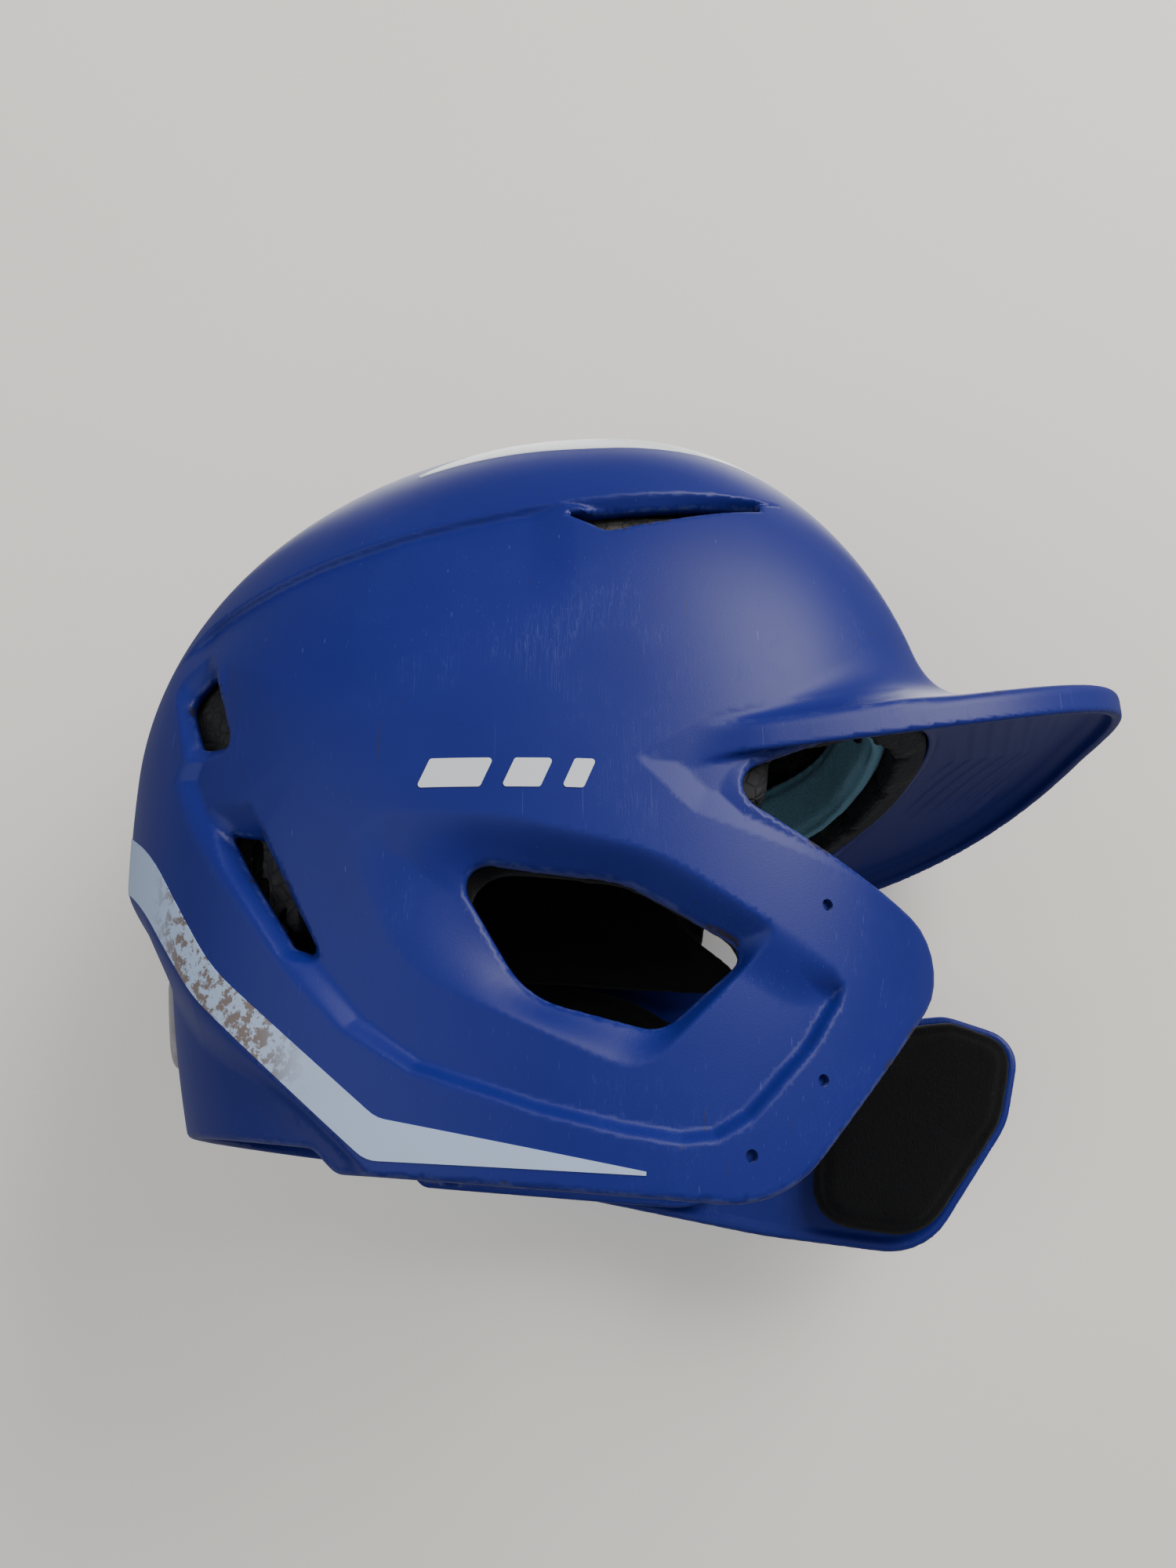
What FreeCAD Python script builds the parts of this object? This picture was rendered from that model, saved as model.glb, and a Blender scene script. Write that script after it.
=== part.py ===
"""Batting helmet with a bolted jaw guard on its left ear flap.

Millimetres. +X points out of the face, +Y to the wearer's left, +Z to the crown. The origin is on the
midline, under the dome, on the plane that the helmet stands on. The shell follows one closed dome; every
liner block, pad and decal is a layer between two such domes, trimmed by outlines drawn in side view.
"""
import FreeCAD
import Part
import math
import os

from FreeCAD import Placement, Rotation, Vector

DIMENSIONS = {
    # the dome: an egg whose half axes differ front to back and top to bottom
    "dome_x": 6.5,
    "dome_z": 127.0,
    "front_reach": 98.5,
    "back_reach": 139.0,
    "half_width": 95.0,
    "crown_rise": 115.0,
    "skirt_drop": 230.0,
    "roundness": 2.5,
    # shell
    "wall": 3.2,
    "recess_depth": 5.0,
    "nape_step": 12.0,
    "through_width": 260.0,
    "vent_reach": 24.0,
    "pilot_radius": 1.25,
    "pilot_depth": 1.6,
    # brim
    "brim_tip_x": 158.4,
    "brim_centre_x": 44.9,
    "brim_half_width": 94.8,
    "brim_power": 2.43,
    "brim_tip_z": 156.5,
    "brim_arch_radius": 236.0,
    "brim_rise_deg": 7.4,
    "brim_skin": 3.3,
    "brim_lip": 8.5,
    "brim_lip_wall": 3.0,
    "brim_tail": 30.0,
    "brim_tuck": 6.5,
    # layers inside the shell
    "liner_gap": 0.4,
    "liner_thickness": 10.0,
    "pad_gap": 0.4,
    "comfort_thickness": 6.5,
    "ear_pad_top": 8.8,
    "ear_pad_bottom": 17.0,
    "block_gap": 2.0,
    "front_split_x": 48.0,
    "rear_split_x": -62.0,
    "crown_split_z": 190.0,
    # jaw guard
    "guard_wall": 3.4,
    "guard_gap": 0.3,
    "guard_pad_thickness": 13.0,
    "cheek_half_width": 86.0,
    "cheek_start_x": 50.0,
    "cheek_slope": 0.14,
    "cheek_bend": 0.0006,
    "cheek_blend": 2.5,
    "guard_hole_radius": 2.3,
    # fasteners
    "screw_radius": 2.0,
    "screw_head_radius": 4.2,
    "screw_head_height": 2.2,
    "screw_length": 10.0,
    "hex_socket_radius": 1.3,
    "hex_socket_depth": 1.3,
    "washer_radius": 5.2,
    "washer_thickness": 0.8,
    "washer_bore": 2.15,
    "nut_flange_radius": 6.5,
    "nut_flange_thickness": 1.2,
    "nut_barrel_radius": 3.2,
    "nut_barrel_length": 3.0,
    "nut_bore": 2.05,
    # badge and decals
    "badge_half_width": 24.0,
    "badge_bottom": 50.0,
    "badge_height": 26.0,
    "badge_thickness": 2.4,
    "inlay_half_width": 15.0,
    "inlay_height": 8.0,
    "inlay_proud": 0.3,
    "inlay_sink": 0.8,
    "decal_thickness": 0.25,
}

# side outlines as (x, z, corner radius); the same outline serves both sides of the helmet
SHELL_SIDE = [
    (150, 144, 0), (97, 132.5, 40), (29, 108.5, 6), (86.8, 72.5, 13), (40.5, 13.3, 28), (-56, 20.6, 6),
    (-63, 26.2, 6), (-150, 37, 0), (-150, 260, 0), (150, 260, 0),
]
EAR_HOLE = [(-33, 87, 5), (-14, 56, 22), (16.5, 48, 9), (36.8, 66, 3.5), (8, 81.5, 30)]
EAR_RECESS = [
    (-63, 99.5, 8), (-22, 98, 60), (16, 89, 60), (61.5, 60.5, 9), (28, 25.5, 14), (-32, 40, 60), (-58, 56, 18),
]
# the nape: below this line the shell steps forwards under the rear bumper
NAPE = [
    (-150, 115, 0), (-130, 99, 20), (-105, 75, 60), (-84, 51, 60), (-54, 26, 8), (-54, 0, 0), (-150, 0, 0),
]
LINER_SIDE = [
    (150, 150, 0), (97, 137, 30), (44, 118, 8), (42, 102.5, 6), (-66, 102.5, 8), (-71, 49, 5), (-88, 64, 30),
    (-119, 101, 30), (-150, 124, 0), (-150, 260, 0), (150, 260, 0),
]
EAR_PAD = [
    (-56, 97.5, 8), (-20, 96, 50), (16, 87.5, 50), (60, 61, 9), (28, 28, 14), (-32, 41.5, 50), (-54, 56, 16),
]
EAR_PAD_HOLE = [(-38, 89.5, 8), (-17, 52.5, 24), (17, 44, 12), (42, 66, 7), (9, 85, 32)]
TEMPLE_PAD = [(-40, 136, 12), (34, 140, 12), (38, 105, 12), (-40, 104, 12)]
BROW_PAD = [(150, 173, 0), (58, 160, 6), (52, 128, 6), (97, 139.5, 20), (150, 148, 0)]
REAR_PAD = [(-150, 112, 0), (-84, 104, 8), (-84, 58, 8), (-150, 62, 0)]
JAW_GUARD = [
    (-9, 18.5, 3), (60, 5, 200), (113, -1.5, 24), (143.5, 41, 30), (151, 69, 12), (127, 78.5, 14), (88, 76, 30),
    (53, 92.5, 6), (45, 80.5, 8), (62, 60, 8), (33, 27.5, 9), (-9, 25, 3),
]
GUARD_PAD = [(80, 72, 14), (126, 76.5, 12), (147.5, 67.5, 12), (140, 40, 28), (111.5, 2.5, 20), (74, 8, 14)]
REAR_STRIPE = [
    (18, 19.6, 0.4), (-46, 32, 8), (-89, 67, 60), (-112, 99, 60), (-150, 128, 0), (-150, 108, 0), (-116, 89, 60),
    (-94, 61, 60), (-48, 23.2, 8),
]
SIDE_BARS = [
    [(-40, 105.5, 0.8), (-37, 112.5, 0.8), (-22, 112.2, 0.8), (-25, 105.2, 0.8)],
    [(-20, 105.1, 0.8), (-17, 112.1, 0.8), (-8, 111.9, 0.8), (-11, 104.9, 0.8)],
    [(-6, 104.8, 0.8), (-3, 111.8, 0.8), (2, 111.6, 0.8), (-1, 104.6, 0.8)],
]
# the crown stripe in plan, as (x, y): a long tapered leaf on each shoulder of the crown
CROWN_STRIPE = [(56, 57, 0.6), (14, 74, 90), (-50, 68, 0.6), (14, 48, 90)]

# vents: centre in side view, then the opening in its own plane (forward, up) as (u, v, radius)
VENTS = {
    "front_vent": ((20, 184), [(-25, -1, 0.8), (-15, -7.3, 2), (4, -2.6, 60), (27, 6.2, 0.8), (27, 9, 0.8), (0, 3.2, 60)]),
    "rear_upper_vent": ((-97.6, 134.6), [(-1.4, 12.6, 1.5), (-10.5, 7.5, 4), (-8.5, -8.6, 3), (8.6, -10.4, 2.5)]),
    "rear_lower_vent": ((-74.6, 85.3), [(-14.4, 15.2, 1), (-4.5, 12.8, 2), (12.6, -16.2, 1), (6.4, -14.2, 2)]),
}
# the jaw guard's bolt positions in side view; the right flap carries blind pilot dimples there
BOLT_PLACES = [(55, 79), (52, 40), (35, 24)]

doc = FreeCAD.newDocument("BattingHelmet")
sheet = doc.addObject("Spreadsheet::Sheet", "Dimensions")


def fill_sheet():
    """One row per driving dimension: its name in column A, its value in column B under that alias."""
    for row, (alias, value) in enumerate(DIMENSIONS.items(), start=1):
        sheet.set(f"A{row}", alias)
        sheet.set(f"B{row}", str(value))
        sheet.setAlias(f"B{row}", alias)
    doc.recompute()


def size(alias):
    return float(getattr(sheet, alias))


def bind(obj, **cells):
    """Binds each property of obj to an expression on the sheet's cells."""
    for prop, expression in cells.items():
        for alias in sorted(DIMENSIONS, key=len, reverse=True):
            expression = expression.replace("#" + alias, "Dimensions." + alias)
        obj.setExpression(prop, expression)
    return obj


# ---- outlines -------------------------------------------------------------------------------------


def rounded(corners):
    """Line segments and tangent arcs of a closed polygon whose corners (a, b, radius) are rounded."""
    count = len(corners)
    cuts = []
    for i, (a, b, radius) in enumerate(corners):
        here = Vector(a, b, 0)
        back = (Vector(*corners[i - 1][:2], 0) - here).normalize()
        ahead = (Vector(*corners[(i + 1) % count][:2], 0) - here).normalize()
        half = back.getAngle(ahead) / 2
        if radius <= 0:
            cuts.append((here, None, here))
            continue
        reach = radius / math.tan(half)
        middle = here + (back + ahead).normalize() * (radius / math.sin(half) - radius)
        cuts.append((here + back * reach, middle, here + ahead * reach))
    edges = []
    for i, (start, middle, end) in enumerate(cuts):
        if middle is not None:
            edges.append(Part.Arc(start, middle, end))
        edges.append(Part.LineSegment(end, cuts[(i + 1) % count][0]))
    return edges


def sketch(name, corners, placement):
    made = doc.addObject("Sketcher::SketchObject", name)
    made.Placement = placement
    made.addGeometry(rounded(corners), False)
    return made


def extrude(profile, direction, reach="#through_width"):
    """A symmetric prism of a sketch along a direction."""
    made = doc.addObject("Part::Extrusion", profile.Name + "_prism")
    made.Base = profile
    made.DirMode = "Custom"
    made.Dir = direction
    made.Symmetric = True
    made.Solid = True
    made.FaceMakerClass = "Part::FaceMakerBullseye"
    return bind(made, LengthFwd=reach)


SIDE_VIEW = Placement(Vector(0, 0, 0), Rotation(Vector(1, 0, 0), 90))
TOP_VIEW = Placement()


def side_prism(name, corners):
    """A side-view outline carried through the whole width of the helmet."""
    return extrude(sketch(name, corners, SIDE_VIEW), Vector(0, 1, 0))


# ---- the dome -------------------------------------------------------------------------------------


def half_axes(x, z, inset=0.0):
    along = size("front_reach") if x > size("dome_x") else size("back_reach")
    upright = size("crown_rise") if z > size("dome_z") else size("skirt_drop")
    return along - inset, upright - inset


def dome_y(x, z, inset=0.0):
    """Half width of the dome, made smaller by inset, at a point of the side view."""
    along, upright = half_axes(x, z, inset)
    reach = math.hypot((x - size("dome_x")) / along, (z - size("dome_z")) / upright)
    power = size("roundness")
    return (size("half_width") - inset) * max(0.0, 1 - reach**power) ** (1 / power)


def dome_frame(x, z, side):
    """The dome's point and outward normal at (x, z) on one side: -1 is the right, +1 the left."""
    step = 0.01
    y = dome_y(x, z)
    along = Vector(2 * step, side * (dome_y(x + step, z) - dome_y(x - step, z)), 0)
    upwards = Vector(0, side * (dome_y(x, z + step) - dome_y(x, z - step)), 2 * step)
    normal = upwards.cross(along).normalize() * side
    return Vector(x, side * y, z), normal


def dome_section(y, inset):
    """The closed curve in which the plane at y cuts the dome."""
    power = size("roundness")
    width = size("half_width") - inset
    share = (1 - abs(y / width) ** power) ** (1 / power)
    points = []
    steps = 36
    for i in range(steps):
        turn = 2 * math.pi * i / steps
        cosine = math.cos(turn)
        sine = math.sin(turn)
        upright = half_axes(0, size("dome_z") + sine, inset)[1]
        z = size("dome_z") + upright * share * sine
        along = half_axes(size("dome_x") + cosine, z, inset)[0]
        points.append(Vector(size("dome_x") + along * share * cosine, y, z))
    curve = Part.BSplineCurve()
    curve.interpolate(points, PeriodicFlag=True)
    return Part.Wire([curve.toShape()])


def dome(name, inset, forward=0.0):
    """A solid dome whose half axes are inset from the shell's outer face, moved forward for the nape."""
    width = size("half_width") - inset
    steps = 10
    last = math.radians(87)
    stations = [width * math.sin(last * i / steps) for i in range(-steps, steps + 1)]
    made = doc.addObject("Part::Feature", name)
    made.Shape = Part.makeLoft([dome_section(y, inset) for y in stations], True, False)
    made.Placement = Placement(Vector(forward, 0, 0), Rotation())
    return made


# ---- boolean helpers ------------------------------------------------------------------------------


def cut(name, base, tool):
    made = doc.addObject("Part::Cut", name)
    made.Base = base
    made.Tool = tool
    return made


def common(name, base, tool):
    made = doc.addObject("Part::Common", name)
    made.Base = base
    made.Tool = tool
    return made


def fuse(name, shapes):
    made = doc.addObject("Part::MultiFuse", name)
    made.Shapes = shapes
    return made


def layer(name, outer, inner, outline):
    """What lies between two domes and inside an outline's prism."""
    return common(name, cut(name + "_layer", outer, inner), outline)


PIECES = {}


def piece(node, made):
    """Names the object that becomes parts/NODE.step."""
    made.Label = node
    PIECES[node] = made
    return made


def box(name, low, high):
    made = doc.addObject("Part::Box", name)
    made.Length = high[0] - low[0]
    made.Width = high[1] - low[1]
    made.Height = high[2] - low[2]
    made.Placement = Placement(Vector(*low), Rotation())
    return made


def cylinder(name, radius, height, placement):
    made = doc.addObject("Part::Cylinder", name)
    made.Placement = placement
    return bind(made, Radius=radius, Height=height)


# ---- shell ----------------------------------------------------------------------------------------


def brim_outline(name, inset):
    """The brim in plan: a superellipse nose whose sides run back and in, under the dome."""
    tip = size("brim_tip_x") - size("brim_centre_x") - inset
    half = size("brim_half_width") - inset
    power = size("brim_power")
    nose = []
    steps = 12
    for i in range(-steps, steps + 1):
        turn = math.pi / 2 * i / steps
        reach = abs(math.cos(turn)) ** (2 / power)
        across = math.copysign(abs(math.sin(turn)) ** (2 / power), turn)
        nose.append(Vector(size("brim_centre_x") + tip * reach, half * across, 0))
    tail = size("brim_centre_x") - size("brim_tail")
    tuck = half - size("brim_tuck")
    curve = Part.BSplineCurve()
    curve.interpolate(nose)
    sides = []
    for side in (-1, 1):
        start = Vector(size("brim_centre_x"), side * half, 0)
        middle = Vector((start.x + tail) / 2, side * (half - 0.28 * size("brim_tuck")), 0)
        sides.append(Part.Arc(start, middle, Vector(tail, side * tuck, 0)).toShape())
    back = Part.LineSegment(Vector(tail, -tuck, 0), Vector(tail, tuck, 0)).toShape()
    face = Part.Face(Part.Wire(Part.__sortEdges__([curve.toShape(), *sides, back])))
    made = doc.addObject("Part::Feature", name)
    made.Shape = face.extrude(Vector(0, 0, size("crown_rise")))
    made.Placement = Placement(Vector(0, 0, size("brim_tip_z") - size("crown_rise") / 2 - 15), Rotation())
    return made


def brim_cylinder(name, depth):
    """The arched surface of the brim, a given depth under its top face, as a long cylinder."""
    rise = math.radians(size("brim_rise_deg"))
    along = Vector(math.cos(rise), 0, math.sin(rise))
    top = Vector(size("brim_tip_x"), 0, size("brim_tip_z"))
    down = Vector(math.sin(rise), 0, -math.cos(rise))
    start = top + down * size("brim_arch_radius") - along * 160
    made = doc.addObject("Part::Cylinder", name)
    made.Height = 200
    made.Placement = Placement(start, Rotation(Vector(0, 0, 1), along))
    return bind(made, Radius=f"#brim_arch_radius - {depth}")


def make_brim(inner_dome):
    outline = brim_outline("brim_outline", 0)
    top = brim_cylinder("brim_top", "0")
    under = brim_cylinder("brim_under", "#brim_skin")
    lip_end = brim_cylinder("brim_lip_end", "#brim_lip")
    skin = common("brim_skin", cut("brim_plate", top, under), outline)
    ring = cut("brim_ring", outline, brim_outline("brim_inset", size("brim_lip_wall")))
    lip = common("brim_lip", cut("brim_lip_plate", top, lip_end), ring)
    return cut("brim", fuse("brim_whole", [skin, lip]), inner_dome)


def vent_cutter(name, side):
    centre, opening = VENTS[name]
    point, normal = dome_frame(*centre, side)
    forward = Vector(0, 0, 1).cross(normal).normalize() * side * -1
    up = normal.cross(forward) * side * -1
    if up.z < 0:
        up = up * -1
    third = forward.cross(up)
    turn = Rotation(forward, up, third, "ZXY")
    label = f"{name}_{'right' if side < 0 else 'left'}"
    return extrude(sketch(label, opening, Placement(point, turn)), normal, "#vent_reach")


def bolt_frame(place, side):
    """Where a bolt crosses the flap, with its axis along the flap's outward normal."""
    point, normal = dome_frame(*place, side)
    return point, normal, Rotation(Vector(0, 0, 1), normal)


def step_in(name, skin, outer, outline, floor_outer, floor_inner):
    """Steps the skin inwards over an outline: a floor between two deeper domes and a return wall round it."""
    inset = [(x, z, max(r - size("wall"), 1)) for x, z, r in shrink(outline, size("wall"))]
    whole = side_prism(name, outline)
    floor = layer(name + "_panel", floor_outer, floor_inner, whole)
    ring = cut(name + "_ring", whole, side_prism(name + "_floor", inset))
    wall = layer(name + "_wall", outer, floor_inner, ring)
    return fuse(name + "_stepped", [cut(name + "_open", skin, whole), floor, wall])


def make_shell(outer, inner):
    side = side_prism("shell_side", SHELL_SIDE)
    deep = size("recess_depth")
    step = size("nape_step")
    skin = cut("shell_skin", outer, inner)
    nape_floor = (dome("nape_outer", 0, step), dome("nape_inner", size("wall"), step))
    skin = step_in("nape", skin, outer, NAPE, *nape_floor)
    ear_floor = (dome("recess_outer", deep), dome("recess_inner", deep + size("wall")))
    skin = step_in("recess", skin, outer, EAR_RECESS, *ear_floor)
    body = fuse("shell_body", [common("shell_trim", skin, side), make_brim(inner)])
    tools = [side_prism("ear_hole", EAR_HOLE)]
    tools += [vent_cutter(name, side) for name in VENTS for side in (-1, 1)]
    for i, place in enumerate(BOLT_PLACES, start=1):
        point, normal, turn = bolt_frame(place, -1)
        start = point - normal * size("pilot_depth")
        tools.append(cylinder(f"pilot_{i}", "#pilot_radius", "#pilot_depth + 4", Placement(start, turn)))
        point, normal, turn = bolt_frame(place, 1)
        tools.append(cylinder(f"bolt_hole_{i}", "#guard_hole_radius", "20", Placement(point - normal * 10, turn)))
    return piece("shell", cut("shell_cut", body, fuse("shell_tools", tools)))


def shrink(corners, distance):
    """The polygon's corners moved inwards so that every side moves by distance."""
    count = len(corners)
    area = sum(
        corners[i - 1][0] * corners[i][1] - corners[i][0] * corners[i - 1][1] for i in range(count)
    )
    turn = 1 if area > 0 else -1
    moved = []
    for i, (x, z, r) in enumerate(corners):
        here = Vector(x, z, 0)
        before = (here - Vector(*corners[i - 1][:2], 0)).normalize()
        after = (Vector(*corners[(i + 1) % count][:2], 0) - here).normalize()
        inward_before = Vector(-before.y, before.x, 0) * turn
        inward_after = Vector(-after.y, after.x, 0) * turn
        bisector = (inward_before + inward_after).normalize()
        here = here + bisector * (distance / bisector.dot(inward_before))
        moved.append((here.x, here.y, r))
    return moved


# ---- liner and pads -------------------------------------------------------------------------------


def make_liner(liner_outer, liner_inner):
    """Five foam blocks, split by straight gaps."""
    whole = layer("liner", liner_outer, liner_inner, side_prism("liner_side", LINER_SIDE))
    gap = size("block_gap") / 2
    wide = size("through_width") / 2
    front_x = size("front_split_x")
    rear_x = size("rear_split_x")
    crown_z = size("crown_split_z")
    regions = {
        "liner_front": ((front_x + gap, -wide, 0), (200, wide, 260)),
        "liner_rear": ((-200, -wide, 0), (rear_x - gap, wide, 260)),
        "liner_crown": ((rear_x + gap, -wide, crown_z + gap), (front_x - gap, wide, 260)),
        "liner_right": ((rear_x + gap, -wide, 0), (front_x - gap, 0, crown_z - gap)),
        "liner_left": ((rear_x + gap, 0, 0), (front_x - gap, wide, crown_z - gap)),
    }
    for node, (low, high) in regions.items():
        piece(node, common(node + "_block", whole, box(node + "_region", low, high)))


def make_pads(pad_outer, pad_inner):
    """Soft pads that lie against the head, each a layer trimmed to its own outline."""
    wide = size("through_width") / 2
    piece("brow_pad", layer("brow", pad_outer, pad_inner, side_prism("brow_side", BROW_PAD)))
    rear = layer("rear", pad_outer, pad_inner, side_prism("rear_side", REAR_PAD))
    clear = dome("nape_clear", size("wall") + size("pad_gap"), size("nape_step"))
    piece("rear_pad", common("rear_fitted", rear, clear))
    temples = layer("temples", pad_outer, pad_inner, side_prism("temple_side", TEMPLE_PAD))
    crown_profile = sketch("crown_pad", [(44, 26, 18), (-52, 26, 18), (-52, -26, 18), (44, -26, 18)], TOP_VIEW)
    crown_prism = extrude(crown_profile, Vector(0, 0, 1), "#through_width * 2")
    upper = box("upper_half", (-150, -wide, size("dome_z")), (150, wide, 260))
    crown = layer("crown", pad_outer, pad_inner, crown_prism)
    piece("crown_pad", common("crown_pad_top", crown, upper))
    ear_outer = dome("ear_pad_outer", size("ear_pad_top"))
    ear_inner = dome("ear_pad_inner", size("ear_pad_bottom"))
    ears = layer("ears", ear_outer, ear_inner, side_prism("ear_pad_side", EAR_PAD))
    ears = cut("ears_open", ears, side_prism("ear_pad_hole", EAR_PAD_HOLE))
    for name, low, high in (("right", -wide, 0), ("left", 0, wide)):
        half = box(f"{name}_half", (-150, low, 0), (150, high, 260))
        piece(f"{name}_temple_pad", common(f"{name}_temple", temples, half))
        piece(f"{name}_ear_pad", common(f"{name}_ear", ears, half))


# ---- jaw guard ------------------------------------------------------------------------------------


def guard_y(x, z):
    """The guard's inner face: it hugs the flap, then runs on forwards with a slight inward bend."""
    flap = dome_y(x, z) + size("guard_gap")
    run = x - size("cheek_start_x")
    cheek = size("cheek_half_width") - size("cheek_slope") * run - size("cheek_bend") * run**2
    blend = size("cheek_blend")
    high = max(flap, cheek)
    return high + blend * math.log(math.exp((flap - high) / blend) + math.exp((cheek - high) / blend))


def guard_surface(offset):
    """The guard's inner face, moved out by offset, as one smooth surface over a grid in side view."""
    grid = []
    for i in range(22):
        x = -20 + 180 * i / 21
        grid.append([Vector(x, guard_y(x, z) + offset, z) for z in range(-15, 116, 10)])
    surface = Part.BSplineSurface()
    surface.interpolate(grid)
    return surface.toShape()


def slab(name, offset, thickness):
    made = doc.addObject("Part::Feature", name)
    made.Shape = guard_surface(offset).extrude(Vector(0, thickness, 0))
    return made


def make_jaw_guard():
    sheet_body = slab("guard_slab", 0, size("guard_wall"))
    trimmed = common("guard_trim", sheet_body, side_prism("guard_side", JAW_GUARD))
    holes = []
    for i, place in enumerate(BOLT_PLACES, start=1):
        point, normal, turn = bolt_frame(place, 1)
        holes.append(cylinder(f"guard_hole_{i}", "#guard_hole_radius", "30", Placement(point - normal * 5, turn)))
    piece("jaw_guard", cut("guard_drilled", trimmed, fuse("guard_holes", holes)))
    thickness = size("guard_pad_thickness")
    pad = slab("guard_pad_slab", -thickness - 0.2, thickness)
    piece("jaw_guard_pad", common("guard_pad_trim", pad, side_prism("guard_pad_side", GUARD_PAD)))


def guard_stand_off(point, normal):
    """How far along a bolt's axis the guard's outer face stands from the flap's outer face."""
    low = 0.0
    high = 20.0
    for _ in range(40):
        middle = (low + high) / 2
        probe = point + normal * middle
        if probe.y < guard_y(probe.x, probe.z) + size("guard_wall"):
            low = middle
        else:
            high = middle
    return high


def turned(name, profile):
    """A round part from a PartDesign revolution: profile is (radius, height) corners, axis +Z."""
    body = doc.addObject("PartDesign::Body", name)
    drawn = body.newObject("Sketcher::SketchObject", name + "_profile")
    plane = [f for f in body.Origin.OriginFeatures if f.Role == "XZ_Plane"][0]
    drawn.AttachmentSupport = (plane, [""])
    drawn.MapMode = "FlatFace"
    points = [Vector(r, h, 0) for r, h in profile]
    lines = [Part.LineSegment(a, points[(i + 1) % len(points)]) for i, a in enumerate(points)]
    drawn.addGeometry(lines, False)
    doc.recompute()
    spin = body.newObject("PartDesign::Revolution", name + "_turned")
    spin.Profile = drawn
    spin.ReferenceAxis = (drawn, ["V_Axis"])
    spin.Angle = 360
    body.Tip = spin
    doc.recompute()
    return body


def bolt_group(node, body, placements):
    """The same solid at each bolt position, as one node of separate solids."""
    copies = []
    for point, turn in placements:
        copy = body.Shape.copy()
        copy.Placement = Placement(point, turn)
        copies.append(copy)
    made = doc.addObject("Part::Feature", node + "_group")
    made.Shape = Part.makeCompound(copies)
    piece(node, made)


def make_fasteners():
    head = size("screw_head_radius")
    height = size("screw_head_height")
    shank = size("screw_radius")
    socket = size("hex_socket_radius")
    depth = height - size("hex_socket_depth")
    screw = turned("screw", [
        (0, -size("screw_length")), (shank, -size("screw_length")), (shank, 0), (head, 0), (head, 0.5),
        (head * 0.8, height * 0.72), (head * 0.45, height), (socket, height), (socket, depth), (0, depth),
    ])
    bore = size("washer_bore")
    rim = size("washer_radius")
    thick = size("washer_thickness")
    washer = turned("washer", [(bore, 0), (rim, 0), (rim, thick), (bore, thick)])
    nut_bore = size("nut_bore")
    barrel = size("nut_barrel_radius")
    flange = size("nut_flange_radius")
    plate = size("nut_flange_thickness")
    length = size("nut_barrel_length")
    nut = turned("tee_nut", [
        (nut_bore, -plate - length), (barrel, -plate - length), (barrel, -plate), (flange, -plate), (flange, 0),
        (nut_bore, 0),
    ])
    washers = []
    screws = []
    nuts = []
    for place in BOLT_PLACES:
        point, normal, turn = bolt_frame(place, 1)
        stand_off = guard_stand_off(point, normal)
        washers.append((point + normal * (stand_off + 0.15), turn))
        screws.append((point + normal * (stand_off + 0.15 + thick), turn))
        nuts.append((point - normal * (size("wall") + 0.25), turn))
    bolt_group("guard_screws", screw, screws)
    bolt_group("guard_washers", washer, washers)
    bolt_group("guard_tee_nuts", nut, nuts)


# ---- badge and decals -----------------------------------------------------------------------------


def rear_prism(name, low, high, half, corner):
    """A plate's outline as seen from behind, a little narrower at its top, carried forwards."""
    seen_from_behind = Placement(Vector(0, 0, 0), Rotation(Vector(0, 1, 0), 90))
    upper = 0.85 * half
    corners = [(-low, -half, corner), (-low, half, corner), (-high, upper, corner), (-high, -upper, corner)]
    return extrude(sketch(name, corners, seen_from_behind), Vector(1, 0, 0), "#through_width * 2")


def make_badge():
    """A raised plate on the nape with a plain bar let into it."""
    step = size("nape_step")
    low = size("badge_bottom")
    high = low + size("badge_height")
    middle = (low + high) / 2
    half_bar = size("inlay_height") / 2
    thick = size("badge_thickness")
    nape = dome("badge_back", 0, step)
    proud = dome("badge_face", -thick, step)
    rear = box("rear_half", (-200, -60, 0), (-60, 60, 260))
    prism = rear_prism("badge", low, high, size("badge_half_width"), 6)
    plate = common("badge_plate", layer("badge_layer", proud, nape, prism), rear)
    bar = rear_prism("badge_bar", middle - half_bar, middle + half_bar, size("inlay_half_width"), 2)
    bar_top = dome("badge_bar_face", -thick - size("inlay_proud"), step)
    bar_floor = dome("badge_bar_floor", -thick + size("inlay_sink"), step)
    inlay = common("badge_inlay_trim", layer("badge_inlay_layer", bar_top, bar_floor, bar), rear)
    piece("badge_inlay", inlay)
    piece("rear_badge", cut("badge_seat", plate, layer("badge_pocket", proud, bar_floor, bar)))


def make_decals(outer):
    skin = dome("decal_face", -size("decal_thickness"))
    piece("rear_stripe", layer("stripe", skin, outer, side_prism("stripe_side", REAR_STRIPE)))
    upper = box("decal_upper_half", (-150, -130, 175), (150, 130, 260))
    leaves = []
    for side in (-1, 1):
        corners = [(x, y * side, r) for x, y, r in CROWN_STRIPE]
        profile = sketch(f"crown_stripe_{side + 2}", corners, TOP_VIEW)
        leaves.append(extrude(profile, Vector(0, 0, 1), "#through_width * 2"))
    crown = layer("crown_stripe_layer", skin, outer, fuse("crown_leaves", leaves))
    piece("crown_stripes", common("crown_stripe_trim", crown, upper))
    bars = fuse("side_bars", [side_prism(f"side_bar_{i}", bar) for i, bar in enumerate(SIDE_BARS, start=1)])
    marks = layer("marks", skin, outer, bars)
    for name, low, high in (("right", -130, 0), ("left", 0, 130)):
        half = box(f"{name}_mark_half", (-150, low, 0), (150, high, 260))
        piece(f"{name}_side_bars", common(f"{name}_mark", marks, half))


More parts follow.
